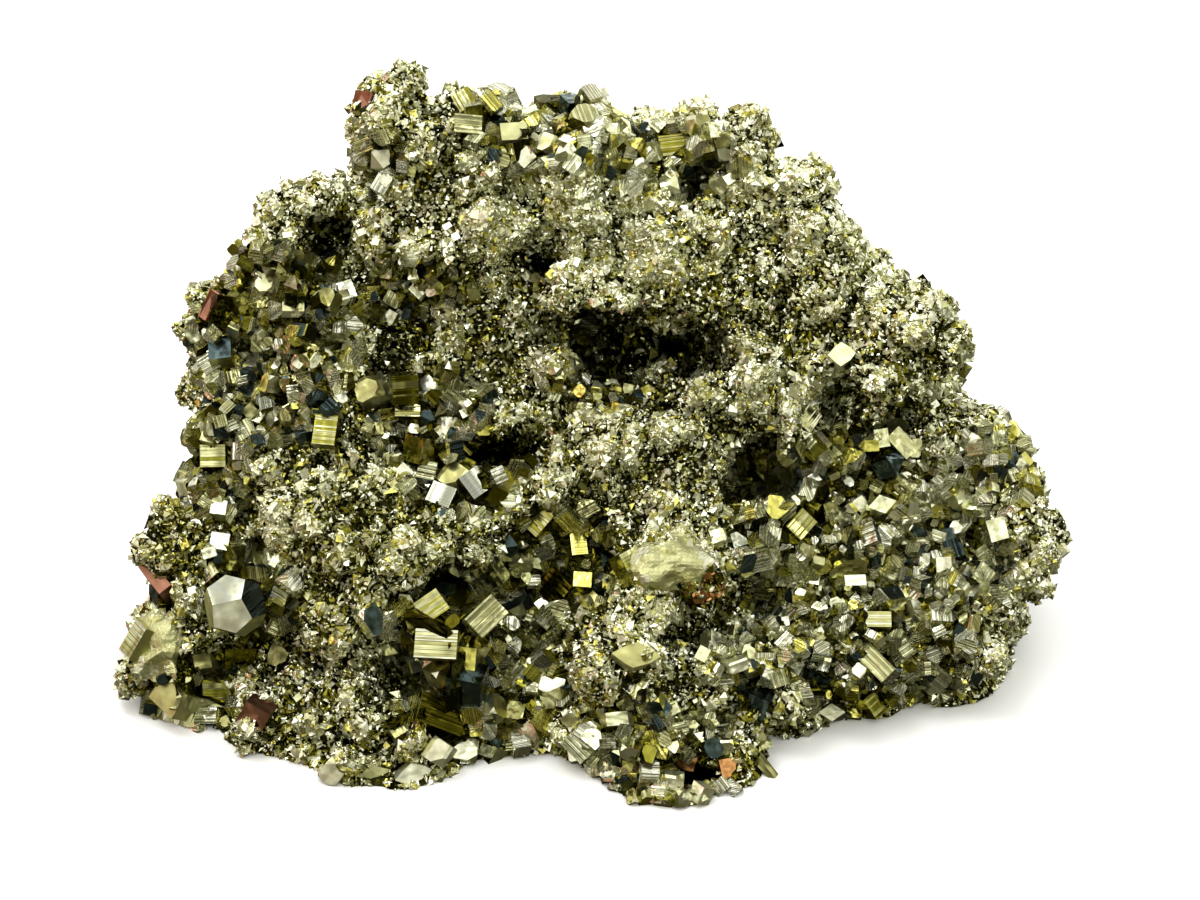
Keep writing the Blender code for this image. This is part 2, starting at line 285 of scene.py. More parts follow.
def from_face(across, back, up):
    """The row place in metres of (across, back, up) in mm.

    For a face that leans by e: y = up sin e + back cos e, z = up cos e - back sin e.
    """
    y = up * math.sin(FACE_LEAN) + back * math.cos(FACE_LEAN) + FACE_FOOT[1]
    z = up * math.cos(FACE_LEAN) - back * math.sin(FACE_LEAN)
    return Vector((across + FACE_FOOT[0], y, z)) * MM


def lattice_noise(points, pitch, seed):
    """Smooth noise in 0 to 1: random values on a cubic lattice of this pitch (mm), blended by 3t2 - 2t3."""
    at = points / (pitch * MM) + seed * 17.3
    cell = np.floor(at)
    t = at - cell
    t = t * t * (3 - 2 * t)
    cell = cell.astype(np.int64)
    total = np.zeros(len(points))
    for corner in np.ndindex(2, 2, 2):
        c = cell + corner
        key = (c[:, 0] * 73856093) ^ (c[:, 1] * 19349663) ^ (c[:, 2] * 83492791) ^ (seed * 2654435761)
        key = (key ^ (key >> 13)) * 1274126177
        value = ((key ^ (key >> 16)) & 0xFFFF) / 65535.0
        weight = np.prod(np.where(np.array(corner) == 1, t, 1 - t), axis=1)
        total += value * weight
    return total


def spots(points, pitch, seed, level, slope):
    """0 to 1 in scattered spots: noise of this pitch and seed less the level, times the slope."""
    return np.clip((lattice_noise(points, pitch, seed) - level) * slope, 0.0, 1.0)


def nearest_middle(points, pitch, seed):
    """How far each place is, in pitches, from the nearest of the random middles, one to each lattice cell,
    how much further the next one is, and the nearest one's number."""
    at = points / (pitch * MM) + seed * 11.7
    cell = np.floor(at).astype(np.int64)
    nearest = np.full(len(points), 9.0)
    second = np.full(len(points), 9.0)
    number = np.zeros(len(points), np.int64)
    for step in np.ndindex(3, 3, 3):
        c = cell + np.array(step) - 1
        middle = np.empty((len(points), 3))
        for axis, prime in enumerate((73856093, 19349663, 83492791)):
            key = (c[:, 0] * 92821) ^ (c[:, 1] * 68917) ^ (c[:, 2] * 28411) ^ (prime + seed * 977)
            key = (key ^ (key >> 11)) * 1274126177
            middle[:, axis] = ((key ^ (key >> 15)) & 0xFFFF) / 65535.0
        gap = np.linalg.norm(c + middle - at, axis=1)
        number = np.where(gap < nearest, c[:, 0] * 4000037 + c[:, 1] * 2003 + c[:, 2], number)
        second = np.minimum(second, np.maximum(gap, nearest))
        nearest = np.minimum(nearest, gap)
    return nearest, second - nearest, number


def knobs(points, pitch, seed):
    """Round knobs, 1 - (distance to the nearest middle / pitch) ^ 2, and creases, 1 half way to the next."""
    nearest, further, _ = nearest_middle(points, pitch, seed)
    return np.clip(1.0 - nearest**2, 0.0, 1.0), np.clip(1.0 - further / CREASE_WIDE, 0.0, 1.0)


# Pockets of coarse crystals on the display face: (across, up), half sizes, and typical crystal edge, in mm.
POCKETS = [
    ((-53.5, 75), (14, 17), 3),
    ((-27, 60.5), (12, 9), 3.2),
    ((-21, 52.5), (10, 7), 3.4),
    ((39, 46.5), (20.5, 13.5), 3.2),
    ((64, 54), (7, 9), 3),
    ((-20.5, 24), (15, 15), 3.8),
    ((-57, 34.5), (9, 8), 3.4),
    ((-8, 108), (13, 7), 4),
    ((12, 104), (11, 6), 3.2),
    ((-34.5, 103), (5, 5), 3.2),
    ((-29, 83), (9, 5), 2.6),
    ((0, 67.5), (9, 4), 2.2),
    ((8, 9), (15, 9), 3.4),
    ((42, 26), (24, 10), 2.8),
    ((-6.5, 39.5), (10, 9), 3),
    ((-63, 54), (7, 7), 2.8),
    ((57.5, 39.5), (12, 10), 2.8),
    ((-66, 18), (9, 7), 3.4),
]


def pocket_share(points):
    """How far each place lies in a pocket of coarse crystals (0 to 1), and that pocket's edge in mm."""
    place = to_face(points)
    ragged = lattice_noise(points, 7.0, 3) - 0.5
    best = np.full(len(points), -9.0)
    edge = np.full(len(points), 2.4)
    for (across, up), (half_across, half_up), size in POCKETS:
        far = ((place[:, 0] - across) / half_across) ** 2 + ((place[:, 2] - up) / half_up) ** 2
        inside = 1.0 - far
        edge = np.where(inside > best, size, edge)
        best = np.maximum(best, inside)
    behind = place[:, 1] > FACE_DEPTH
    patches = (lattice_noise(points, 16.0, 5) - 0.5) * 5.0
    best = np.where(behind, patches, best)
    edge = np.where(behind, 3.2, edge)
    return np.clip(best * 2.5 + ragged * 2.4 + 0.3, 0.0, 1.0), edge


# Hollows left open between the lobes: (across, up), (half length, half width) in mm, and the length's slope.
HOLLOWS = [
    ((43, 62.5), (10, 3.6), 25),
    ((27, 53.5), (9, 4), 30),
    ((6.5, 74.6), (16.5, 4.8), -11),
    ((-27.2, 21.7), (11.5, 5.2), -1),
    ((-16.8, 57.5), (8, 3.2), 16),
    ((-56, 25.3), (9.5, 3), 5),
    ((12.3, 6.8), (6.2, 3.2), -17),
    ((-13.7, 30.3), (6.8, 2.2), -24),
    ((-14.8, 19.2), (6, 2.4), -46),
    ((-23.8, 35.8), (3.8, 2.8), -6),
    ((26.3, 17.5), (4.6, 2.4), 25),
    ((-35.6, 72), (4.8, 2.2), 10),
    ((-38.1, 46.7), (3.4, 2.8), -38),
    ((11, 25.4), (4.6, 2), 68),
    ((-43.2, 91.6), (3.4, 2.6), 75),
    ((-59, 73.8), (4.6, 2.6), 77),
    ((24.6, 34.3), (5, 2), -50),
    ((-60.4, 59.3), (4.4, 2), -31),
    ((-10.1, 87.9), (4.2, 2), -12),
    ((18.7, 62.5), (3.2, 2), -50),
    ((35, 22.2), (4.6, 1.6), -74),
    ((55.6, 49), (4.2, 1.6), 10),
    ((-4.3, 50.4), (3.2, 1.8), 60),
    ((17.6, 100.4), (3, 1.7), 50),
]

# Places where the skin stands further out, and by how much, where its creases are grown shut, and to what
# share, and where it is smooth and bare: (across, up), half sizes.
SWELLS = [
    ((-35, 112), (9, 9), 2.2),
    ((-2, 98), (36, 9.5), 2.4),
    ((70, 50), (5, 5), 1.2),
]
CLOSED = [
    ((4, 94), (36, 14), 0.4),
    ((-36, 113), (10, 10), 0.35),
    ((29, 65), (8, 9), 0.5),
]
BARE = [
    ((10.4, 39.4), (10.4, 5.6)),
    ((-71.5, 26), (5, 7.5)),
    ((-67, 15), (6.5, 3.6)),
]


def oval_share(place, middle, halves, slope=0.0):
    """How far inside an oval on the face each place lies: 1 - (x / half length)^2 - (y / half width)^2."""
    turn = math.radians(slope)
    x = place[:, 0] - middle[0]
    y = place[:, 2] - middle[1]
    along = x * math.cos(turn) + y * math.sin(turn)
    aside = y * math.cos(turn) - x * math.sin(turn)
    return 1.0 - (along / halves[0]) ** 2 - (aside / halves[1]) ** 2


def skin_of(source):
    """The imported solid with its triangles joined, remade as even quads by a voxel remesh."""
    bm = bmesh.new()
    bm.from_mesh(source.data)
    bmesh.ops.remove_doubles(bm, verts=bm.verts, dist=1e-6)
    joined = bpy.data.meshes.new("joined")
    bm.to_mesh(joined)
    bm.free()
    obj = bpy.data.objects.new("joined", joined)
    bpy.context.scene.collection.objects.link(obj)
    even = obj.modifiers.new("even", "REMESH")
    even.mode = "VOXEL"
    even.voxel_size = GRAIN_PITCH * MM
    ease = obj.modifiers.new("ease", "SMOOTH")
    ease.factor = 0.5
    ease.iterations = 5
    depsgraph = bpy.context.evaluated_depsgraph_get()
    mesh = bpy.data.meshes.new_from_object(obj.evaluated_get(depsgraph))
    bpy.data.objects.remove(obj)
    return mesh


def read(items, name, width, kind=np.float64):
    """One attribute of every item as an array, width numbers each."""
    found = np.empty(len(items) * width, np.float32 if kind is np.float64 else kind)
    items.foreach_get(name, found)
    return found.astype(kind).reshape(-1, width) if width > 1 else found.astype(kind)


def chart_places(local, tone, finish):
    """Chart places of corners: local (0 to 1 both ways) shrunk into the cell of this tone and finish."""
    inside = CELL_MARGIN + local * (1 - 2 * CELL_MARGIN)
    return np.stack([(tone + inside[:, 0]) / TONES, (finish + inside[:, 1]) / FINISHES], 1)


mass = skin_of(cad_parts["pyrite_cluster"])
places = read(mass.vertices, "co", 3)
outward = read(mass.vertices, "normal", 3)
in_pocket, _ = pocket_share(places)
warped = places + (np.stack([lattice_noise(places, 5.0, 20 + k) for k in range(3)], 1) - 0.5) * 3.0 * MM
lumps = np.zeros(len(places))
creased = np.zeros(len(places))
for seed, (size, rise, cut) in enumerate(KNOB_SIZES):
    knob, crease = knobs(warped, size, 1 + seed)
    lumps += (knob - 0.64) * rise - crease * cut
    creased = np.maximum(creased, crease * (1.0 - 0.3 * seed))
pits = spots(places, *PITS)
lumps -= PIT_DEPTH * pits
creased = np.maximum(creased, pits)
lumps *= 1.0 - 0.5 * in_pocket
gaps = spots(places, *GAPS) * in_pocket
lumps -= GAP_DEPTH * gaps
creased = np.maximum(creased, gaps)
at_face = to_face(places)
shown = at_face[:, 1] < FACE_DEPTH
for middle, halves, share in CLOSED:
    creased *= 1.0 - share * np.clip(1.5 * oval_share(at_face, middle, halves), 0.0, 1.0) * shown
uneven = (lattice_noise(places, 3.0, 41) - 0.5) * 0.9
for middle, halves, slope in HOLLOWS:
    hollow = np.clip(1.5 * (oval_share(at_face, middle, halves, slope) + uneven), 0.0, 1.0) * shown
    lumps -= HOLLOW_DEPTH * hollow
    creased = np.maximum(creased, 1.1 * hollow)
for middle, halves, rise in SWELLS:
    lumps += rise * np.clip(1.5 * oval_share(at_face, middle, halves), 0.0, 1.0) * shown
bare = np.zeros(len(places))
for middle, halves in BARE:
    smooth = np.clip(2.0 * (oval_share(at_face, middle, halves) + 0.6 * uneven), 0.0, 1.0)
    bare = np.maximum(bare, smooth * shown)
lumps *= 1.0 - 0.85 * bare
creased *= 1.0 - bare
grit = (lattice_noise(places, 2.2, 2) - 0.5) * 1.1 + (lattice_noise(places, 1.1, 4) - 0.5) * 1.0
grit *= 1.0 - 0.75 * bare
moved = lumps + grit - SKIN_INSET - POCKET_SINK * in_pocket
resting = places[:, 2] < 0.5 * MM
places += outward * (moved * ~resting)[:, None] * MM
places[:, 2] = np.maximum(places[:, 2], 0.0)
mass.vertices.foreach_set("co", places.astype(np.float32).ravel())
mass.update()

rng = np.random.default_rng(5)
count = len(mass.polygons)
corner = np.tile([[0.0, 0.0], [1.0, 0.0], [1.0, 1.0], [0.0, 1.0]], (count, 1))
quads = read(mass.loops, "vertex_index", 1, np.int32).reshape(-1, 4)
# Painted shade: quads of the mass in pockets and creases, between the crystals, are painted near black.
shaded_gaps = np.maximum(in_pocket, creased)[quads].mean(1) > 0.4
smooth = bare[quads].mean(1) > 0.5
tone = np.where(shaded_gaps, rng.choice(GAP_SHADE_TONES, count), rng.choice(MASS_TONES, count))
middles = places[quads].mean(1)
slow = 0.6 * lattice_noise(middles, 2.6, 51) + 0.4 * lattice_noise(middles, 1.3, 52)
plain = BARE_TONES[0] + (BARE_TONES[1] - BARE_TONES[0]) * slow
tone = np.repeat(np.where(smooth, plain.round().astype(int), tone), 4)
finish = np.repeat(np.where(smooth, DULL, CRUMPLED), 4)
chart = mass.uv_layers.new(name="OFBake")
chart.uv.foreach_set("vector", chart_places(corner, tone, finish).astype(np.float32).ravel())
mass_piece = finish_piece(mass, "grown_mass")
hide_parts("pyrite_cluster")

skin = BVHTree.FromPolygons(places.tolist(), quads.tolist())

# ---------------------------------------------------------------------------
# Shapes that pyrite grows in, each as unit corners and outward faces: cube, cube with cut corners,
# cuboctahedron, octahedron, pyritohedron, mixed forms, blocks stepped by growth, and the blunt grains,
# chips and plates between them.
# Faces that look further from the outward side than this level get painted shade.
SIDE_LEVEL = 0.45
STEP_LIP = 0.14


def hull_shape(points):
    """The convex hull of these points as (corners, faces), coplanar triangles joined, faces outwards."""
    bm = bmesh.new()
    for p in points:
        bm.verts.new(p)
    bmesh.ops.convex_hull(bm, input=bm.verts)
    bmesh.ops.dissolve_limit(bm, angle_limit=0.02, verts=bm.verts, edges=bm.edges)
    bmesh.ops.recalc_face_normals(bm, faces=bm.faces)
    bm.verts.index_update()
    corners = np.array([v.co for v in bm.verts])
    faces = [[v.index for v in f.verts] for f in bm.faces]
    bm.free()
    return corners, faces


def signs(*kinds):
    """Every choice of sign for each number of each kind, in every cyclic order."""
    found = set()
    for kind in kinds:
        for s in np.ndindex(2, 2, 2):
            p = [k * (1 - 2 * q) for k, q in zip(kind, s)]
            found |= {(p[0], p[1], p[2]), (p[1], p[2], p[0]), (p[2], p[0], p[1])}
    return sorted(found)


def corner_signs(kind):
    """As signs, but in every order, not only the cyclic ones."""
    a, b, c = kind
    return sorted(set(signs((a, b, c))) | set(signs((a, c, b))))


def stepped_shape(steps, depth, seed):
    """A unit block whose front and top rise in uneven steps: a saw-toothed outline drawn out across."""
    draw = np.random.default_rng(seed)
    widths = draw.uniform(0.4, 1.6, steps)
    heights = np.concatenate([[0.0], np.cumsum(widths) / widths.sum()]) - 0.5
    cuts = draw.uniform(0.35, 1.0, steps) * depth
    outline = []
    for low, high, cut in zip(heights[:-1], heights[1:], cuts):
        lip = (high - low) * STEP_LIP
        outline += [(-0.5, low), (-0.5, high - lip), (-0.5 + cut, high - lip)]
    outline += [(-0.5 + cuts[-1], 0.5), (0.5, 0.5), (0.5, -0.5)]
    number = len(outline)
    corners = np.array([(x, y, z) for x in (-0.5, 0.5) for y, z in outline])
    sides = [[k, (k + 1) % number, (k + 1) % number + number, k + number] for k in range(number)]
    ends = [list(range(number))[::-1], list(range(number, 2 * number))]
    bm = bmesh.new()
    made = [bm.verts.new(p) for p in corners]
    for side in sides + ends:
        bm.faces.new([made[k] for k in side])
    bmesh.ops.recalc_face_normals(bm, faces=bm.faces)
    bm.verts.index_update()
    faces = [[v.index for v in f.verts] for f in bm.faces]
    bm.free()
    return corners, faces


def grown_shape(seed):
    """A crystal of cube, octahedron and pyritohedron faces, each grown out to its own distance.

    Its corners are the meetings of three face planes that lie inside all the others.
    """
    draw = np.random.default_rng(seed)
    cube = np.array(signs((1.0, 0.0, 0.0)))
    octahedron = np.array(signs((1.0, 1.0, 1.0))) / math.sqrt(3.0)
    pyritohedron = np.array(signs((0.0, 1.0, 2.0))) / math.sqrt(5.0)
    normals = np.concatenate([cube, octahedron, pyritohedron])
    far = np.concatenate([
        draw.uniform(0.40, 0.52, len(cube)),
        draw.uniform(0.50, 0.86, len(octahedron)),
        draw.uniform(0.50, 0.74, len(pyritohedron)),
    ])
    a, b, c = np.array([(i, j, k) for k in range(len(far)) for j in range(k) for i in range(j)]).T
    planes = np.stack([normals[a], normals[b], normals[c]], 1)
    sound = np.abs(np.linalg.det(planes)) > 1e-3
    meetings = np.linalg.solve(planes[sound], np.stack([far[a], far[b], far[c]], 1)[sound][..., None])[..., 0]
    inside = (meetings @ normals.T <= far + 1e-6).all(1)
    return hull_shape(sorted({tuple(np.round(p, 4)) for p in meetings[inside]}))


CUBE = hull_shape(signs((0.5, 0.5, 0.5)))
GROWN = [grown_shape(seed) for seed in range(8)]
CUT_CUBE = hull_shape(corner_signs((0.5, 0.5, 0.26)))
CUBOCTAHEDRON = hull_shape(corner_signs((0.56, 0.56, 0.0)))
OCTAHEDRON = hull_shape(signs((0.75, 0.0, 0.0)))
PYRITOHEDRON = hull_shape(signs((0.44, 0.44, 0.44), (0.0, 0.33, 0.66)))
BRICK = hull_shape([(x * 0.8, y * 0.5, z * 0.42) for x, y, z in signs((0.9, 0.9, 0.9))])
PEBBLES = [
    hull_shape([
        (math.cos(turn + third * 2.1 + t * 0.2 * third) * r, math.sin(turn + third * 2.1) * r, h)
        for r, h, turn in ((0.56, -0.30, 0.4 * t), (0.46 - 0.04 * t, 0.34, 0.9))
        for third in range(3)
    ])
    for t in range(5)
]
CHIP = hull_shape([(-0.5, -0.4, -0.3), (0.6, -0.3, -0.2), (-0.1, 0.6, -0.3), (0.1, 0.0, 0.45)])
FINE_STEPS = stepped_shape(18, 0.05, 1)
BROAD_STEPS = stepped_shape(11, 0.07, 2)
PLATE_EDGE = (
    (0.1, 0.56), (0.7, 0.47), (1.6, 0.55), (2.4, 0.43), (3.2, 0.58), (4.1, 0.46), (4.6, 0.54), (5.6, 0.42),
)
PLATE = hull_shape([(math.cos(a) * r, h, math.sin(a) * r) for a, r in PLATE_EDGE for h in (-0.5, 0.5)])
FLAG_EDGE = ((0.2, 0.55), (1.3, 0.5), (2.2, 0.6), (3.4, 0.5), (4.3, 0.56), (5.4, 0.5))
FLAG = hull_shape([(math.cos(a) * r, math.sin(a) * r, h) for a, r in FLAG_EDGE for h in (-0.5, 0.5)])


def turns(count, rng, spread=None):
    """Rotation matrices from quaternions (w, x, y, z): drawn evenly, or near no turn, off by about spread."""
    q = rng.normal(size=(count, 4))
    if spread is not None:
        q[:, 0] = 1.0
        q[:, 1:] *= np.reshape(spread, (-1, 1)) / 2
    w, x, y, z = (q / np.linalg.norm(q, axis=1)[:, None]).T
    rows = [
        [1 - 2 * (y * y + z * z), 2 * (x * y - z * w), 2 * (x * z + y * w)],
        [2 * (x * y + z * w), 1 - 2 * (x * x + z * z), 2 * (y * z - x * w)],
        [2 * (x * z - y * w), 2 * (y * z + x * w), 1 - 2 * (x * x + y * y)],
    ]
    return np.moveaxis(np.array(rows), 2, 0)


def shared_turns(points, pitch, seed, rng, spread):
    """Rotations that the grains of one cluster share, since they grew from one seed, each off by spread."""
    _, which = np.unique(nearest_middle(points, pitch, seed)[2], return_inverse=True)
    return turns(which.max() + 1, rng)[which] @ turns(len(points), rng, spread)


def lying(out, rng, spread):
    """Rotations that take z to the outward direction with a random spin, each tilted off it by spread."""
    across = np.cross(out, rng.normal(size=out.shape))
    across /= np.linalg.norm(across, axis=1)[:, None]
    return np.stack([across, np.cross(out, across), out], 2) @ turns(len(out), rng, spread)


def flat_places(shape):
    """For each face of a shape, its corners laid flat in a unit square, first side along it."""
    corners, faces = shape
    found = []
    for face in faces:
        p = corners[face]
        side = p[1] - p[0]
        side /= np.linalg.norm(side)
        up = np.cross(np.cross(side, p[2] - p[1]), side)
        up /= np.linalg.norm(up)
        flat = np.stack([(p - p[0]) @ side, (p - p[0]) @ up], 1)
        flat -= flat.min(0)
        found.append(flat / flat.max())
    return found


def face_sides(shape):
    """The outward direction of each face of a shape."""
    corners, faces = shape
    found = [np.cross(corners[f[1]] - corners[f[0]], corners[f[2]] - corners[f[1]]) for f in faces]
    return [side / np.linalg.norm(side) for side in found]


def crystals(shape, at, stretch, turn, tone, finish, out, shade, tarnish_and_reflection, rng):
    """Corners = place + turn (stretch * unit corner), and each face one step of tone lighter or darker.

    A face that looks away from the mass's outward side, out, is given painted shade: its tone is darker by
    shade * (SIDE_LEVEL - side . out) steps, and where the tone is yellow or one after it, such a face is
    painted dark. A random share of the faces has a blue tarnished film, and three times that share of the side
    faces a painted yellow reflection.
    """
    corners, faces = shape
    number = len(at)
    solid = corners[None, :, :] * stretch[:, None, :]
    world = np.einsum("nij,nkj->nki", turn, solid) + at[:, None, :]
    first = np.arange(number)[:, None] * len(corners)
    counts, loops, chart = [], [], []
    for face, flat, side in zip(faces, flat_places(shape), face_sides(shape)):
        loops.append((first + np.array(face)[None, :]).astype(np.int32))
        counts.append(len(face))
        turned = np.einsum("nij,nj->ni", turn, side / stretch)
        turned /= np.linalg.norm(turned, axis=1)[:, None]
        lift = (turned * out).sum(1)
        # Painted shade: faces that look away from out are darker, and those of the special tones are painted
        # dark.
        step = rng.integers(-1, 2, number) + np.clip(shade * (SIDE_LEVEL - lift), 0.0, 5.0).round()
        side_painted_shade = np.where(lift < 0.1, YELLOW - 2, tone)
        cell = np.where(tone < YELLOW, np.clip(tone + step, 0, YELLOW - 1), side_painted_shade)
        film = rng.random(number)
        cell = np.where(film < tarnish_and_reflection, NAVY, cell)
        # Painted reflection: a share of the side faces is yellow.
        cell = np.where((film > 1.0 - 3.0 * tarnish_and_reflection) & (lift < 0.5), YELLOW, cell)
        cell = np.repeat(cell, len(face))
        kind = np.repeat(finish, len(face))
        chart.append(chart_places(np.tile(flat, (number, 1)), cell, kind).reshape(number, -1, 2))
    loops = np.concatenate(loops, 1).ravel()
    chart = np.concatenate(chart, 1).reshape(-1, 2)
    return world.reshape(-1, 3), np.tile(counts, number), loops, chart


def joined_mesh(name, groups):
    """One mesh of many groups of crystals, each (corners, face sizes, loops, chart)."""
    start = 0
    loops = []
    for corners, _, group_loops, _ in groups:
        loops.append(group_loops + start)
        start += len(corners)
    corners = np.concatenate([g[0] for g in groups])
    corners[:, 2] = np.maximum(corners[:, 2], 0.0)
    sizes = np.concatenate([g[1] for g in groups]).astype(np.int32)
    loops = np.concatenate(loops).astype(np.int32)
    mesh = bpy.data.meshes.new(name)
    mesh.vertices.add(len(corners))
    mesh.vertices.foreach_set("co", corners.astype(np.float32).ravel())
    mesh.loops.add(len(loops))
    mesh.loops.foreach_set("vertex_index", loops)
    mesh.polygons.add(len(sizes))
    mesh.polygons.foreach_set("loop_start", np.concatenate([[0], np.cumsum(sizes)[:-1]]).astype(np.int32))
    chart = mesh.uv_layers.new(name="OFBake")
    chart.uv.foreach_set("vector", np.concatenate([g[3] for g in groups]).astype(np.float32).ravel())
    mesh.update()
    mesh.validate()
    return mesh


# ---------------------------------------------------------------------------
# The large crystals that stand one by one on the display face: cubes, mixed forms, striated blocks cut in
# real steps across their height, and a few thin plates. Each is grown into the mass by most of its depth.
LARGE_USUAL = [PLAIN, 0.32]
LARGE_SCALE = 0.92
LARGE_ROOM = 0.54
LARGE_REACH = 9.0
LARGE_SHADE = 1.8
OBLIQUE = 1.5

